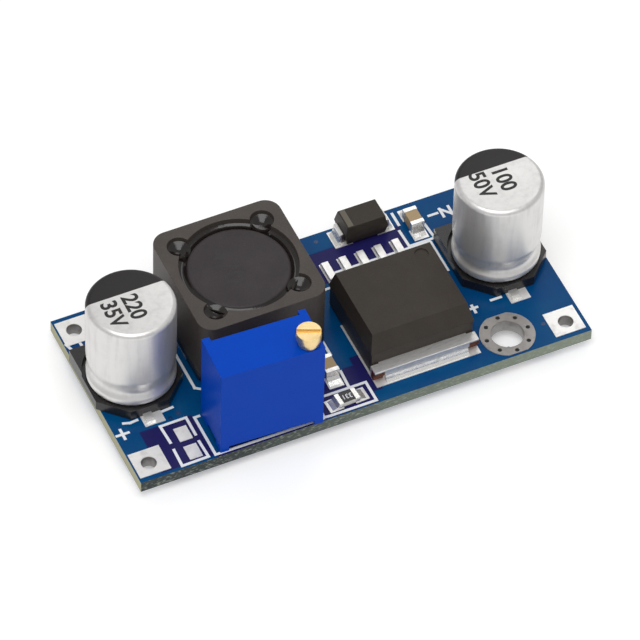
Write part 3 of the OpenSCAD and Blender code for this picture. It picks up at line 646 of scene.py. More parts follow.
@dataclass
class Finishes:
    """Every material of the module, made once."""

    tin: bpy.types.Material = field(init=False)
    ring: bpy.types.Material = field(init=False)
    shaded_hole_tin: bpy.types.Material = field(init=False)
    solder: bpy.types.Material = field(init=False)
    brass: bpy.types.Material = field(init=False)
    lead: bpy.types.Material = field(init=False)
    steel: bpy.types.Material = field(init=False)
    copper: bpy.types.Material = field(init=False)
    ferrite: bpy.types.Material = field(init=False)
    core: bpy.types.Material = field(init=False)
    varnish: bpy.types.Material = field(init=False)
    epoxy: bpy.types.Material = field(init=False)
    base: bpy.types.Material = field(init=False)
    housing: bpy.types.Material = field(init=False)
    rubber: bpy.types.Material = field(init=False)
    ceramic: bpy.types.Material = field(init=False)
    alumina: bpy.types.Material = field(init=False)
    glaze: bpy.types.Material = field(init=False)
    white_ink: bpy.types.Material = field(init=False)
    black_ink: bpy.types.Material = field(init=False)
    engraving: bpy.types.Material = field(init=False)
    band: bpy.types.Material = field(init=False)
    cover: bpy.types.Material = field(init=False)

    def __post_init__(self) -> None:
        """Builds the materials."""
        self.tin = Solder("tinned_copper", (0.90, 0.89, 0.87), (0.62, 0.61, 0.59), 0.02, 0.34, 0.5).build()
        self.ring = Solder("ring_tin", (0.40, 0.38, 0.365), (0.24, 0.23, 0.22), 0.02, 0.34, 0.8).build()
        # Painted shade: the tin inside the holes is dark grey, far below the pads' bright tin, for the shade in the
        # holes.
        self.shaded_hole_tin = Metal("hole_tin_painted_dark", (0.34, 0.33, 0.32), (0.16, 0.15, 0.14), 0.4, relief=0.005).build()
        self.solder = Solder("solder").build()
        self.brass = Metal(
            "turned_brass", (0.90, 0.68, 0.34), (0.70, 0.47, 0.17), 0.3, 0.3, 0.002, (1, 1, 6), 0.35, 0.9
        ).build()
        self.lead = Metal(
            "tinned_lead", (0.86, 0.85, 0.83), (0.60, 0.59, 0.56), 0.32, 0.3, 0.004, tarnish=0.4, metal=0.8
        ).build()
        self.steel = Metal("spring_steel", (0.45, 0.45, 0.47), (0.25, 0.25, 0.27), 0.35).build()
        self.copper = Metal("enamelled_wire", (0.62, 0.25, 0.09), (0.30, 0.10, 0.04), 0.35, 0.3).build()
        self.ferrite = Moulded("ferrite", (0.060, 0.050, 0.043), (0.13, 0.112, 0.10), 0.5, 0.1, 0.02, 0.3, 0.35).build()
        self.core = Moulded("ferrite_core", (0.034, 0.028, 0.030), (0.085, 0.072, 0.075), 0.5, 0.08, 0.015, 0.25, 0.3).build()
        self.varnish = Moulded("dark_varnish", (0.012, 0.009, 0.008), (0.03, 0.022, 0.02), 0.16, 0.6, 0.03, 0.1).build()
        self.epoxy = Moulded("black_epoxy", (0.033, 0.026, 0.020), (0.075, 0.062, 0.05), 0.42, 0.07, 0.01, 0.3, 0.25).build()
        self.base = Moulded("black_base", (0.010, 0.009, 0.009), (0.03, 0.03, 0.03), 0.3, 0.12, 0.006, 0.1).build()
        self.housing = Moulded(
            "blue_housing", (0.0, 0.056, 0.47), (0.0, 0.075, 0.56), 0.32, 0.2, 0.005, 0.05, 0.07
        ).build()
        self.rubber = Moulded("black_rubber", (0.012, 0.012, 0.012), (0.03, 0.03, 0.03), 0.6).build()
        self.ceramic = Moulded("chip_ceramic", (0.38, 0.27, 0.14), (0.50, 0.39, 0.23), 0.45, 0.1, 0.01, 0.3).build()
        self.alumina = Moulded("white_alumina", (0.70, 0.69, 0.64), (0.8, 0.79, 0.75), 0.5).build()
        self.glaze = Moulded("black_glaze", (0.012, 0.011, 0.011), (0.04, 0.04, 0.04), 0.25, 0.3, 0.01, 0.1).build()
        self.white_ink = Ink("white_legend", (0.84, 0.86, 0.88), (0.45, 0.50, 0.62), 0.55).build()
        self.black_ink = Ink("black_print", (0.012, 0.010, 0.010), (0.05, 0.05, 0.05), 0.45).build()
        self.engraving = Ink("engraved_line", (0.008, 0.007, 0.007), (0.02, 0.018, 0.018), 0.3).build()
        self.cover = Ink("mask_over_hole", (0.0, 0.03, 0.12), (0.0, 0.05, 0.16), 0.25).build()
        self.band = Ink("cathode_band", (0.115, 0.100, 0.072), (0.08, 0.07, 0.055), 0.45).build()


# ---------------------------------------------------------------- making of pieces


def new_piece(name: str, mesh: bpy.types.Mesh, material: bpy.types.Material) -> bpy.types.Object:
    """Links a mesh as an object with one material."""
    mesh.materials.clear()
    mesh.materials.append(material)
    made = bpy.data.objects.new(name, mesh)
    bpy.context.scene.collection.objects.link(made)
    return made


def closed(builder: bmesh.types.BMesh, name: str, smooth_below: float = 35.0) -> bpy.types.Mesh:
    """Turns a bmesh into a mesh whose faces point outwards and whose soft edges are smooth.

    Args:
        builder: The bmesh, which is freed.
        name: Name of the mesh.
        smooth_below: Angle in degrees between faces above which an edge stays sharp.

    Returns:
        The mesh.
    """
    bmesh.ops.remove_doubles(builder, verts=builder.verts, dist=2e-7)
    bmesh.ops.recalc_face_normals(builder, faces=builder.faces)
    limit = math.radians(smooth_below)
    for face in builder.faces:
        face.smooth = True
    for edge in builder.edges:
        edge.smooth = len(edge.link_faces) == 2 and edge.calc_face_angle(0.0) < limit
    mesh = bpy.data.meshes.new(name)
    builder.to_mesh(mesh)
    builder.free()
    return mesh


def softened(
    node: str,
    material: bpy.types.Material,
    radius: float,
    segments: int = 2,
    body: str = ROOT,
) -> bpy.types.Object:
    """Copies a solid with its edges rounded, and shows the copy in its place.

    Args:
        node: Name of the solid.
        material: Material of the copy.
        radius: Width of the rounding in millimetres.
        segments: Faces across the rounding.
        body: Body that it rides on.

    Returns:
        The copy.
    """
    source = bpy.data.objects[node]
    builder = bmesh.new()
    builder.from_mesh(source.data)
    bmesh.ops.remove_doubles(builder, verts=builder.verts, dist=1e-6)
    bmesh.ops.dissolve_limit(
        builder, angle_limit=math.radians(1.0), verts=builder.verts, edges=builder.edges
    )
    made = new_piece(f"{node}_soft", closed(builder, node, 32.0), material)
    bevel = made.modifiers.new("rounding", "BEVEL")
    bevel.width = radius * MM
    bevel.segments = segments
    bevel.limit_method = "ANGLE"
    bevel.angle_limit = math.radians(32.0)
    bevel.harden_normals = True
    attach(made, body)
    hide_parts(node)
    return made


def dress(material: bpy.types.Material, *nodes: str) -> None:
    """Gives solids their material."""
    for node in nodes:
        source = bpy.data.objects[node]
        source.data.materials.clear()
        source.data.materials.append(material)


def lathe(builder: bmesh.types.BMesh, profile: Sequence[Point2], centre: Point3, steps: int = 96) -> None:
    """Adds a turned solid.

    Args:
        builder: The bmesh that it goes into.
        profile: Radius and height of each point, from the lower pole to the upper one.
        centre: Place of its axis, with the height that the profile starts from.
        steps: Faces round the axis.
    """
    rings: list[list[bmesh.types.BMVert]] = []
    cx, cy, cz = centre
    for radius, height in profile:
        if radius < 1e-6:
            rings.append([builder.verts.new(((cx * MM), cy * MM, (cz + height) * MM))])
            continue
        ring = []
        for i in range(steps):
            angle = math.tau * i / steps
            at = (cx + radius * math.cos(angle), cy + radius * math.sin(angle), cz + height)
            ring.append(builder.verts.new(Vector(at) * MM))
        rings.append(ring)
    for low, high in zip(rings, rings[1:]):
        for i in range(steps):
            j = (i + 1) % steps
            corners = [low[i % len(low)], low[j % len(low)], high[j % len(high)], high[i % len(high)]]
            unique = list(dict.fromkeys(corners))
            if len(unique) > 2:
                builder.faces.new(unique)


def arc_points(centre: Point2, radius: float, start: float, end: float, steps: int = 8) -> list[Point2]:
    """Points along an arc, with angles in degrees."""
    found = []
    for i in range(steps + 1):
        angle = math.radians(start + (end - start) * i / steps)
        found.append((centre[0] + radius * math.cos(angle), centre[1] + radius * math.sin(angle)))
    return found


def plate(builder: bmesh.types.BMesh, outline: Sequence[Point2], low: float, high: float) -> None:
    """Adds a flat plate.

    Args:
        builder: The bmesh that it goes into.
        outline: Its outline, anticlockwise.
        low: Height of its lower face.
        high: Height of its upper face.
    """
    under = [builder.verts.new(Vector((x, y, low)) * MM) for x, y in outline]
    over = [builder.verts.new(Vector((x, y, high)) * MM) for x, y in outline]
    builder.faces.new(list(reversed(under)))
    builder.faces.new(over)
    for i in range(len(outline)):
        j = (i + 1) % len(outline)
        builder.faces.new([under[i], under[j], over[j], over[i]])


def lettering(
    name: str,
    text: str,
    size: float,
    place: Point3,
    turn: float,
    material: bpy.types.Material,
    bold: float = 0.0,
    narrow: float = 1.0,
    thick: float = 0.006,
) -> bpy.types.Object:
    """Makes plain numbers as a thin mesh that lies flat.

    Args:
        name: Name of the piece.
        text: The numbers.
        size: Height of a number.
        place: Middle of the line of numbers, at the face that they lie on.
        turn: Direction of the line, in degrees.
        material: Its ink.
        bold: Extra width of the strokes.
        narrow: Width of the numbers as a share of their usual width.
        thick: Thickness of the ink.

    Returns:
        The piece.
    """
    curve = bpy.data.curves.new(name, "FONT")
    curve.body = text
    curve.size = size / 0.7
    curve.align_x = "CENTER"
    curve.align_y = "CENTER"
    curve.offset = bold
    curve.extrude = thick / 2
    drawn = bpy.data.objects.new(name, curve)
    bpy.context.scene.collection.objects.link(drawn)
    bpy.context.view_layer.update()
    mesh = bpy.data.meshes.new_from_object(drawn.evaluated_get(bpy.context.evaluated_depsgraph_get()))
    bpy.data.objects.remove(drawn)
    move = (
        Matrix.Scale(MM, 4)
        @ Matrix.Translation((place[0], place[1], place[2] + thick / 2))
        @ Matrix.Rotation(math.radians(turn), 4, "Z")
        @ Matrix.Diagonal((narrow, 1.0, 1.0, 1.0))
    )
    mesh.transform(move)
    return new_piece(name, mesh, material)


class Unit(Enum):
    """Shape that a Scatter tree copies, by the node that makes it."""

    BLOCK = "GeometryNodeMeshCube"
    DISC = "GeometryNodeMeshCylinder"


class Scatter:
    """Geometry Nodes tree that puts a stretched unit block or disc on every point of a mesh."""

    def __init__(self, name: str, unit_shape: Unit, material: bpy.types.Material) -> None:
        """Builds the tree.

        Args:
            name: Name of the tree.
            unit_shape: The shape that is copied.
            material: Material of every copy.
        """
        tree = bpy.data.node_groups.new(name, "GeometryNodeTree")
        face = tree.interface
        face.new_socket("Geometry", in_out="INPUT", socket_type="NodeSocketGeometry")
        self.width = face.new_socket("Width", in_out="INPUT", socket_type="NodeSocketFloat").identifier
        self.height = face.new_socket("Height", in_out="INPUT", socket_type="NodeSocketFloat").identifier
        face.new_socket("Geometry", in_out="OUTPUT", socket_type="NodeSocketGeometry")
        nodes, links = tree.nodes, tree.links
        source = nodes.new("NodeGroupInput")
        result = nodes.new("NodeGroupOutput")
        unit = nodes.new(unit_shape.value)
        if unit_shape is Unit.DISC:
            unit.inputs["Vertices"].default_value = 24
            unit.inputs["Radius"].default_value = 0.5
            unit.inputs["Depth"].default_value = 1.0
        points = nodes.new("GeometryNodeMeshToPoints")
        copies = nodes.new("GeometryNodeInstanceOnPoints")
        real = nodes.new("GeometryNodeRealizeInstances")
        paint = nodes.new("GeometryNodeSetMaterial")
        paint.inputs["Material"].default_value = material
        run = self._attribute(nodes, "run")
        turn = self._attribute(nodes, "turn")
        size = nodes.new("ShaderNodeCombineXYZ")
        angle = nodes.new("ShaderNodeCombineXYZ")
        links.new(run, size.inputs["X"])
        links.new(source.outputs["Width"], size.inputs["Y"])
        links.new(source.outputs["Height"], size.inputs["Z"])
        links.new(turn, angle.inputs["Z"])
        links.new(source.outputs["Geometry"], points.inputs["Mesh"])
        links.new(points.outputs["Points"], copies.inputs["Points"])
        links.new(unit.outputs["Mesh"], copies.inputs["Instance"])
        links.new(angle.outputs["Vector"], copies.inputs["Rotation"])
        links.new(size.outputs["Vector"], copies.inputs["Scale"])
        links.new(copies.outputs["Instances"], real.inputs["Geometry"])
        links.new(real.outputs["Geometry"], paint.inputs["Geometry"])
        links.new(paint.outputs["Geometry"], result.inputs[0])
        self.tree = tree
        self.material = material

    @staticmethod
    def _attribute(nodes: bpy.types.Nodes, name: str) -> bpy.types.NodeSocket:
        """Output of a Named Attribute node that reads a number."""
        node = nodes.new("GeometryNodeInputNamedAttribute")
        node.data_type = "FLOAT"
        node.inputs["Name"].default_value = name
        return next(s for s in node.outputs if s.enabled and s.type == "VALUE")

    def build(
        self,
        name: str,
        spots: Sequence[tuple[Point3, float, float]],
        width: float,
        height: float,
    ) -> bpy.types.Object:
        """Makes the copies a plain mesh.

        Args:
            name: Name of the piece.
            spots: Middle, length and direction in radians of each copy.
            width: Width of a copy.
            height: Thickness of a copy.

        Returns:
            The piece.
        """
        mesh = bpy.data.meshes.new(name)
        mesh.from_pydata([Vector(p) * MM for p, _, _ in spots], [], [])
        for key, values in (("run", [s[1] * MM for s in spots]), ("turn", [s[2] for s in spots])):
            mesh.attributes.new(key, "FLOAT", "POINT").data.foreach_set("value", values)
        holder = new_piece(name, mesh, self.material)
        modifier = holder.modifiers.new("copies", "NODES")
        modifier.node_group = self.tree
        modifier[self.width] = width * MM
        modifier[self.height] = height * MM
        bpy.context.view_layer.update()
        plain = bpy.data.meshes.new_from_object(
            holder.evaluated_get(bpy.context.evaluated_depsgraph_get())
        )
        holder.modifiers.remove(modifier)
        holder.data = plain
        plain.materials.clear()
        plain.materials.append(self.material)
        return holder


def strokes(
    lines: Iterable[Sequence[Point2]], width: float, height: float, z: float
) -> list[tuple[Point3, float, float]]:
    """Cuts lines into straight strokes for a Scatter tree.

    Args:
        lines: Corner points of each line.
        width: Width of the strokes, which is added to the length of each.
        height: Thickness of the strokes.
        z: Height of the face that they lie on.

    Returns:
        Middle, length and direction of each stroke. Strokes that follow each other lie at
        slightly different heights, so that no two upper faces meet in one plane.
    """
    found: list[tuple[Point3, float, float]] = []
    for line in lines:
        for (x0, y0), (x1, y1) in zip(line, line[1:]):
            run = math.hypot(x1 - x0, y1 - y0) + width
            lift = 0.0015 * (len(found) % 4)
            middle = ((x0 + x1) / 2, (y0 + y1) / 2, z + height / 2 + lift)
            found.append((middle, run, math.atan2(y1 - y0, x1 - x0)))
    return found


def span(node: str) -> tuple[Vector, Vector, Vector]:
    """Lowest corner, highest corner and middle of a solid, in millimetres."""
    low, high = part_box(node)
    return low / MM, high / MM, (low + high) / 2 / MM


# ---------------------------------------------------------------- sub-assemblies


@dataclass
class Board:
    """The bare circuit board with its mask, legend, plated holes and solder.

    Attributes:
        finishes: The materials.
        mounts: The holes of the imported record.
        legend_width: Width of a printed line.
        legend_thick: Thickness of the printed ink.
        plating: Thickness of the tin in a hole.
        gaps: Rectangles of the mask without copper under them.
        lines: Corner points of each printed line.
        vias: Middle of each hole that the mask covers.
    """

    finishes: Finishes
    mounts: Sequence[dict[str, Any]]
    legend_width: float = 0.26
    legend_thick: float = 0.014
    plating: float = 0.03
    gaps: tuple[Area, ...] = (
        (2.3, 4.2, 11.1, 7.85),
        (-19.4, -9.6, -14.5, -4.7),
        (-4.2, -9.8, 1.1, -5.2),
        (0.65, -8.6, 2.0, -4.3),
        (-14.3, -10.0, -4.5, -9.3),
    )
    lines: tuple[tuple[Point2, ...], ...] = (
        ((-17.39, -6.81), (-17.48, -4.81), (-15.03, -4.79), (-15.04, -6.84)),
        ((-17.44, -7.69), (-17.49, -9.58), (-15.0, -9.53), (-15.07, -7.67)),
        ((-13.95, -5.08), (-14.36, -5.08), (-14.36, -9.58), (-4.2, -9.62)),
        ((-13.0, 2.0), (-13.0, -2.06), (-12.39, -2.5), (-9.0, -2.5)),
        ((12.9, 4.9), (12.9, 1.4)),
        ((3.7, 5.08), (12.85, 5.08)),
        ((1.72, 3.61), (2.55, 3.65)),
        ((11.15, 7.9), (11.15, 9.3)),
        ((11.2, 5.27), (13.45, 5.27), (13.3, 7.0)),
        ((10.9, 7.2), (10.95, 5.35)),
        ((-0.65, -1.5), (-0.65, -3.3)),
        ((-0.62, -5.4), (-0.7, -7.3)),
        ((-3.0, -7.38), (0.87, -7.38), (0.88, -9.6), (-3.4, -9.6)),
        ((-4.05, -8.95), (-4.1, -9.55), (-3.55, -9.6)),
        ((14.05, 7.8), (14.85, 7.8)),
        ((15.25, 7.2), (15.25, 8.15), (16.1, 7.2), (16.1, 8.15)),
        ((-20.79, -3.8), (-20.79, -4.86)),
        ((-21.32, -4.33), (-20.26, -4.33)),
        ((-20.24, -3.24), (-19.7, -3.41), (-19.03, -3.36)),
        ((-16.76, -3.35), (-15.66, -3.26)),
        ((14.9, -3.3), (15.8, -3.3)),
        ((12.7, -3.5), (13.4, -3.5)),
        ((13.05, -3.2), (13.05, -4.0)),
        ((-21.3, 6.89), (-20.98, 5.95)),
        ((-20.12, 7.0), (-20.07, 6.23)),
    )

    vias: tuple[Point2, ...] = ((-15.43, -4.05), (-16.3, -4.3), (17.9, -7.6), (13.9, -8.9), (3.6, 9.0), (12.0, 8.6))

    def build(self) -> None:
        """Builds and dresses the board."""
        low, high, _ = span("circuit_board")
        dress(SolderMask("solder_mask", tuple(low), tuple(high), self.gaps).build(), "circuit_board")
        dress(self.finishes.tin, "component_lands", "spare_lands")
        dress(self.finishes.ring, "front_fixing_ring", "rear_fixing_ring")
        dress(self.finishes.tin, "input_plus_pad", "input_minus_pad", "output_plus_pad", "output_minus_pad")
        dress(self.finishes.solder, "solder_fillets")
        self._print_legend(high.z)
        self._plate_holes(low.z, high.z)
        self._shade_ring_holes(low.z, high.z)
        self._cover_vias(high.z)

    def _print_legend(self, z: float) -> None:
        """Prints the white lines on the upper face."""
        tree = Scatter("legend_strokes", Unit.BLOCK, self.finishes.white_ink)
        spots = strokes(self.lines, self.legend_width, self.legend_thick, z)
        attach(tree.build("board_legend", spots, self.legend_width, self.legend_thick), ROOT)

    def _plate_holes(self, under: float, top: float) -> None:
        """Lines the wire holes and the fixing holes with tinned copper, painted dark grey as shade inside the holes."""
        builder = bmesh.new()
        for mount in self.mounts:
            x, y, _ = (value / MM for value in mount["pos_m"])
            outer = mount["dims"]["r_mm"]
            inner = outer - self.plating
            wall = [(outer, under), (outer, top), (inner, top), (inner, under), (outer, under)]
            lathe(builder, wall, (x, y, 0.0), 64)
        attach(new_piece("hole_plating", closed(builder, "hole_plating"), self.finishes.shaded_hole_tin), ROOT)

    def _shade_ring_holes(self, under: float, top: float) -> None:
        """Fills the small holes of the two rings with black discs, just below the tin, as painted shade in the holes.
        """
        # Painted shade: black discs stand in for the shade inside the small holes.
        tree = Scatter("ring_hole_shade", Unit.DISC, self.finishes.rubber)
        spots: list[tuple[Point3, float, float]] = []
        for ring in ("front_fixing_ring", "rear_fixing_ring"):
            low, high, middle = span(ring)
            reach = (3.0 + (high.x - low.x)) / 4
            for i in range(8):
                angle = math.tau * i / 8
                at = (middle.x + reach * math.cos(angle), middle.y + reach * math.sin(angle), (under + top) / 2)
                spots.append((at, 0.39, 0.0))
        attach(tree.build("ring_hole_shade", spots, 0.39, top - under - 0.1), ROOT)

    def _cover_vias(self, z: float) -> None:
        """Lays the low bumps of the mask over the covered holes."""
        tree = Scatter("covered_holes", Unit.DISC, self.finishes.cover)
        spots = [((x, y, z), 0.42, 0.0) for x, y in self.vias]
        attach(tree.build("covered_holes", spots, 0.42, 0.03), ROOT)


@dataclass
class CanCapacitor:
    """A surface-mount electrolytic capacitor: drawn can, printed top, moulded base and two leads.

    Attributes:
        finishes: The materials.
        name: First part of the names of its solids.
        value: The two lines of numbers on its top.
        value_at: Place of each line from the axis.
        mark_edge: Distance of the straight side of the black mark behind the axis.
        number_high: Height of a number.
        bead_up: Height where the rolled groove starts, above the rim.
        groove_high: Height of the groove.
        groove_deep: Depth of the groove.
        groove_lean: Power that moves the deepest point of the groove down.
        shoulder: Rounding of the top edge.
        rim: Rounding of the bottom rim.
        ink: Thickness of the print.
    """

    finishes: Finishes
    name: str
    value: tuple[str, str]
    value_at: tuple[Point2, Point2]
    mark_edge: float
    number_high: float = 1.42
    bead_up: float = 0.85
    groove_high: float = 2.3
    groove_deep: float = 0.36
    groove_lean: float = 0.62
    shoulder: float = 0.5
    rim: float = 0.45
    ink: float = 0.012

    def build(self) -> None:
        """Builds and dresses the capacitor."""
        node = f"{self.name}_can"
        low, high, middle = span(node)
        skin = CanSkin(f"{self.name}_skin", (middle.x, middle.y), high.z, self.mark_edge).build()
        self._can(node, low, high, middle, skin)
        self._numbers(high.z, middle)
        softened(f"{self.name}_base", self.finishes.base, 0.1)
        for side in ("plus", "minus"):
            softened(f"{self.name}_{side}_lead", self.finishes.lead, 0.04)

    def _can(self, node: str, low: Vector, high: Vector, middle: Vector, skin: bpy.types.Material) -> None:
        """Turns the can as one smooth shell.

        Args:
            node: The solid that it stands for.
            low: Its lowest corner.
            high: Its highest corner.
            middle: Its middle.
            skin: Its material.
        """
        radius = (high.x - low.x) / 2
        height = high.z - low.z - self.ink
        wall = []
        for i in range(33):
            t = i / 32
            deep = self.groove_deep * (1 - math.cos(math.tau * t**self.groove_lean)) / 2
            wall.append((radius - deep, self.bead_up + self.groove_high * t))
        profile = [
            (0.0, 0.0),
            *arc_points((radius - self.rim, self.rim), self.rim, -90, 0, 12),
            *wall,
            *arc_points((radius - self.shoulder, height - self.shoulder), self.shoulder, 0, 90, 12),
            (0.0, height),
        ]
        builder = bmesh.new()
        lathe(builder, profile, (middle.x, middle.y, low.z), 128)
        shell = new_piece(f"{self.name}_shell", closed(builder, node, 50.0), skin)
        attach(shell, ROOT)
        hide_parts(node)

    def _numbers(self, top: float, middle: Vector) -> None:
        """Prints the two values.

        Args:
            top: Height of the top of the can.
            middle: Middle of the can.
        """
        for i, (text, (x, y)) in enumerate(zip(self.value, self.value_at), 1):
            place = (middle.x + x, middle.y + y, top - self.ink)
            line = lettering(
                f"{self.name}_value_{i}", text, self.number_high, place, -90, self.finishes.black_ink,
                bold=0.05, narrow=0.92, thick=self.ink,
            )
            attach(line, ROOT)


@dataclass
class Inductor:
    """The shielded inductor: ferrite shield, wound core, varnish, base plate and terminals.

    Attributes:
        finishes: The materials.
        value: The number pressed into the core.
        value_at: Place of the number from the middle of the core.
        value_high: Height of a number.
        bore: Radius of the opening through the shield.
        pocket_at: Distance of the four pockets from the middle, along each side.
        pocket: Radius of a pocket.
        pocket_deep: Depth of a pocket.
    """

    finishes: Finishes
    value: str = "470"
    value_at: Point2 = (-0.95, 0.6)
    value_high: float = 1.9
    bore: float = 5.25
    pocket_at: float = 3.95
    pocket: float = 1.05
    pocket_deep: float = 1.1

    def build(self) -> None:
        """Builds and dresses the inductor."""
        softened("inductor_shield", self.finishes.ferrite, 0.14)
        softened("inductor_core", self.finishes.core, 0.12)
        softened("inductor_base", self.finishes.base, 0.06)
        dress(self.finishes.copper, "inductor_winding")
        dress(self.finishes.lead, "inductor_left_terminal", "inductor_right_terminal")
        low, high, middle = span("inductor_core")
        place = (middle.x + self.value_at[0], middle.y + self.value_at[1], high.z - 0.004)
        mark = lettering(
            "inductor_value", self.value, self.value_high, place, -90, self.finishes.engraving, -0.03, 1.05
        )
        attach(mark, ROOT)
        self._varnish((high.x - low.x) / 2, middle, high.z)

    def _varnish(self, core: float, middle: Vector, top: float) -> None:
        """Runs glossy varnish round the core and into the four pockets.

        Args:
            core: Radius of the core's top.
            middle: Middle of the core.
            top: Height of the core's top.
        """
        shield_top = span("inductor_shield")[1].z
        builder = bmesh.new()
        gap = self.bore - core
        bead = [(core - 0.02, top - 0.9)]
        bead += [(core - 0.02 + (gap + 0.04) * t / 6, top - 0.12 - 0.16 * math.sin(math.pi * t / 6)) for t in range(7)]
        bead += [(self.bore + 0.02, top - 0.9), (core - 0.02, top - 0.9)]
        lathe(builder, bead, (middle.x, middle.y, 0.0), 96)
        floor = shield_top - self.pocket_deep
        rise = [0.42, 0.36, 0.24, 0.12, 0.02]
        for side_x in (-1, 1):
            for side_y in (-1, 1):
                cup = [(0.0, 0.0), (self.pocket - 0.01, 0.0), (self.pocket - 0.01, 0.62)]
                cup += [(self.pocket * (0.86 - 0.2 * i), 0.2 + high) for i, high in enumerate(rise[1:])]
                cup += [(0.0, 0.2)]
                at = (middle.x + side_x * self.pocket_at, middle.y + side_y * self.pocket_at, floor)
                lathe(builder, cup, at, 40)
        made = new_piece("inductor_varnish", closed(builder, "inductor_varnish", 70.0), self.finishes.varnish)
        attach(made, ROOT)
        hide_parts("inductor_glue")


@dataclass
class Regulator:
    """The power regulator: moulded body, metal tab and five bent leads."""

    finishes: Finishes

    def build(self) -> None:
        """Builds and dresses the regulator."""
        low, high, _ = span("regulator_tab")
        softened("regulator_body", self.finishes.epoxy, 0.06)
        softened("regulator_tab", CutTab("cut_tab", tuple(low), tuple(high)).build(), 0.05)
        for i in range(1, 6):
            softened(f"regulator_lead_{i}", self.finishes.lead, 0.05)


@dataclass
class SmallParts:
    """The diode, the two chip capacitors and the chip resistor.

    Attributes:
        finishes: The materials.
        band_at: Distance of the diode's cathode band from its end.
        band_wide: Width of the band.
        band_inset: Distance of the band's ends from the long sides.
        value: The numbers on the resistor.
        value_high: Height of a number.
    """

    finishes: Finishes
    band_at: float = 0.34
    band_wide: float = 0.5
    band_inset: float = 0.32
    value: str = "331"
    value_high: float = 0.5

    def build(self) -> None:
        """Builds and dresses the small parts."""
        softened("diode_body", self.finishes.epoxy, 0.06)
        softened("diode_anode_lead", self.finishes.lead, 0.03)
        softened("diode_cathode_lead", self.finishes.lead, 0.03)
        for chip in ("input_chip", "feedback_chip"):
            dress(self.finishes.ceramic, f"{chip}_body")
            softened(f"{chip}_ends", self.finishes.solder, 0.05)
        dress(self.finishes.alumina, "resistor_body")
        softened("resistor_ends", self.finishes.solder, 0.04)
        softened("resistor_coating", self.finishes.glaze, 0.02)
        self._band()
        _, high, middle = span("resistor_coating")
        place = (middle.x, middle.y, high.z - 0.002)
        number = lettering(
            "resistor_value", self.value, self.value_high, place, 180, self.finishes.white_ink, 0.008, 0.9
        )
        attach(number, ROOT)

    def _band(self) -> None:
        """Prints the cathode band across the diode's top."""
        low, high, _ = span("diode_body")
        x = low.x + self.band_at
        outline = [
            (x, low.y + self.band_inset),
            (x + self.band_wide, low.y + self.band_inset),
            (x + self.band_wide, high.y - self.band_inset),
            (x, high.y - self.band_inset),
        ]
        builder = bmesh.new()
        plate(builder, outline, high.z - 0.004, high.z + 0.006)
        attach(new_piece("diode_band", closed(builder, "diode_band"), self.finishes.band), ROOT)


@dataclass
class Trimmer:
    """The multi-turn trimmer: moulded housing, brass screw, wiper carriage, element and pins."""

    finishes: Finishes

    def build(self) -> None:
        """Builds and dresses the trimmer."""
        softened("trimmer_housing", self.finishes.housing, 0.07)
        softened("trimmer_screw", self.finishes.brass, 0.04, body="adjuster")
        dress(self.finishes.rubber, "trimmer_o_ring")
        dress(self.finishes.base, "trimmer_seal")
        dress(self.finishes.alumina, "trimmer_element", "trimmer_carriage")
        dress(self.finishes.steel, "trimmer_retaining_ring")
        dress(self.finishes.brass, "trimmer_wiper")
        dress(self.finishes.lead, "trimmer_pin_1", "trimmer_pin_2", "trimmer_pin_3")
        dress(self.finishes.solder, "trimmer_pin_solder")


# ---------------------------------------------------------------- studio


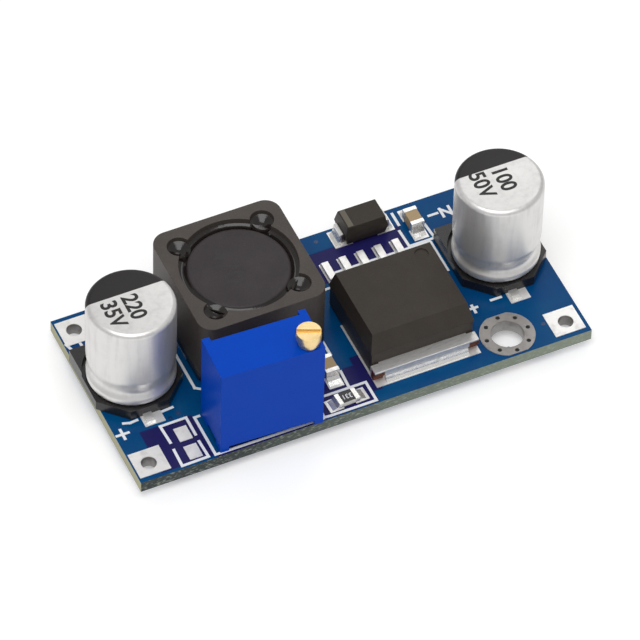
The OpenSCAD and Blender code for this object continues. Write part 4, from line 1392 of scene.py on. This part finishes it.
@dataclass
class Studio:
    """Floor, lamps, world and camera.

    Attributes:
        azimuth: Direction of the camera round the module, in degrees.
        elevation: Its height above the horizon, in degrees.
        roll: Its turn about its own axis, in degrees.
        distance: Its distance from the aim, in millimetres.
        lens: Focal length for a sensor 36 wide.
        aim: The point that it looks at.
        sky: Strength of the even light of the surroundings.
        floor_glow: Light that the camera and reflections see on the floor besides the lamps' own.
    """

    azimuth: float = -25.89
    elevation: float = 49.636
    roll: float = 1.769
    distance: float = 575.983
    lens: float = 370.38
    aim: Point3 = (0.171, 0.641, 2.1)
    sky: float = 0.52
    floor_glow: float = 0.3

    def build(self) -> None:
        """Builds the studio."""
        self._camera()
        self._floor()
        self._world()
        self._lamps()

    def _camera(self) -> None:
        """Sets up the camera."""
        a, e = math.radians(self.azimuth), math.radians(self.elevation)
        back = Vector((math.sin(a) * math.cos(e), -math.cos(a) * math.cos(e), math.sin(e)))
        right = Vector((math.cos(a), math.sin(a), 0.0))
        up = back.cross(right)
        r = math.radians(self.roll)
        right, up = (
            right * math.cos(r) + up * math.sin(r),
            up * math.cos(r) - right * math.sin(r),
        )
        data = bpy.data.cameras.new("camera")
        data.lens = self.lens
        data.sensor_width = 36.0
        data.clip_start = 0.01
        data.clip_end = 10.0
        camera = bpy.data.objects.new("camera", data)
        frame = Matrix((right, up, back)).transposed().to_4x4()
        place = (Vector(self.aim) + back * self.distance) * MM
        camera.matrix_world = Matrix.Translation(place) @ frame
        bpy.context.scene.collection.objects.link(camera)
        bpy.context.scene.camera = camera

    def _floor(self) -> None:
        """Lays the pale floor."""
        g = Graph("pale_floor")
        path = g.add("ShaderNodeLightPath")
        outputs = path.socket.node.outputs
        seen = Shade(g, outputs["Is Camera Ray"])
        for other in ("Is Glossy Ray", "Is Transmission Ray"):
            seen = seen.highest(Shade(g, outputs[other]))
        tint = g.mix(g.noise(400.0), (0.80, 0.80, 0.80), (0.82, 0.82, 0.82))
        matt = g.add("ShaderNodeBsdfDiffuse", None, {"Color": tint})
        glow = g.add("ShaderNodeEmission", None, {"Color": (1.0, 1.0, 1.0), "Strength": seen * self.floor_glow})
        both = g.add("ShaderNodeAddShader", None, {0: matt, 1: glow})
        g.close(both)
        builder = bmesh.new()
        half = 3000.0
        corners = [(-half, -half), (half, -half), (half, half), (-half, half)]
        builder.faces.new([builder.verts.new(Vector((x, y, -0.02)) * MM) for x, y in corners])
        floor = new_piece("floor", closed(builder, "floor"), g.material)

    def _world(self) -> None:
        """Lights the surroundings evenly."""
        world = bpy.data.worlds.new("studio")
        world.use_nodes = True
        background = world.node_tree.nodes["Background"]
        background.inputs["Color"].default_value = (1.0, 1.0, 1.0, 1.0)
        background.inputs["Strength"].default_value = self.sky
        bpy.context.scene.world = world

    def _lamps(self) -> None:
        """Hangs the soft boxes."""
        self._soft_box("key", (-60, -90, 330), 260, 0.62)
        self._soft_box("edge", (160, 220, 260), 160, 0.1)

    @staticmethod
    def _soft_box(name: str, place: Point3, size: float, power: float) -> None:
        """Hangs one square lamp that faces the module.

        Args:
            name: Its name.
            place: Its place.
            size: Its side.
            power: Its power in watts.
        """
        data = bpy.data.lights.new(name, "AREA")
        data.energy = power
        data.size = size * MM
        lamp = bpy.data.objects.new(name, data)
        lamp.location = Vector(place) * MM
        lamp.rotation_mode = "QUATERNION"
        lamp.rotation_quaternion = Vector(place).to_track_quat("Z", "Y")
        bpy.context.scene.collection.objects.link(lamp)


def main() -> None:
    """Builds the module and its studio."""
    logging.basicConfig(level=logging.INFO, format="%(name)s: %(message)s")
    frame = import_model()
    bpy.context.scene.view_settings.view_transform = "Standard"
    Studio().build()
    finishes = Finishes()
    parts = {
        "board": Board(finishes, frame["record"]["mounts"]),
        "output capacitor": CanCapacitor(
            finishes, "output_capacitor", ("220", "35V"), ((0.0, -0.56), (-1.95, -0.64)), 1.15
        ),
        "input capacitor": CanCapacitor(
            finishes, "input_capacitor", ("100", "50V"), ((0.33, 0.0), (-1.72, 0.1)), 1.55
        ),
        "inductor": Inductor(finishes),
        "regulator": Regulator(finishes),
        "small parts": SmallParts(finishes),
        "trimmer": Trimmer(finishes),
    }
    for name, part in parts.items():
        part.build()
        LOG.info("%s built", name)
    bpy.context.view_layer.update()


if __name__ == "__main__":
    main()
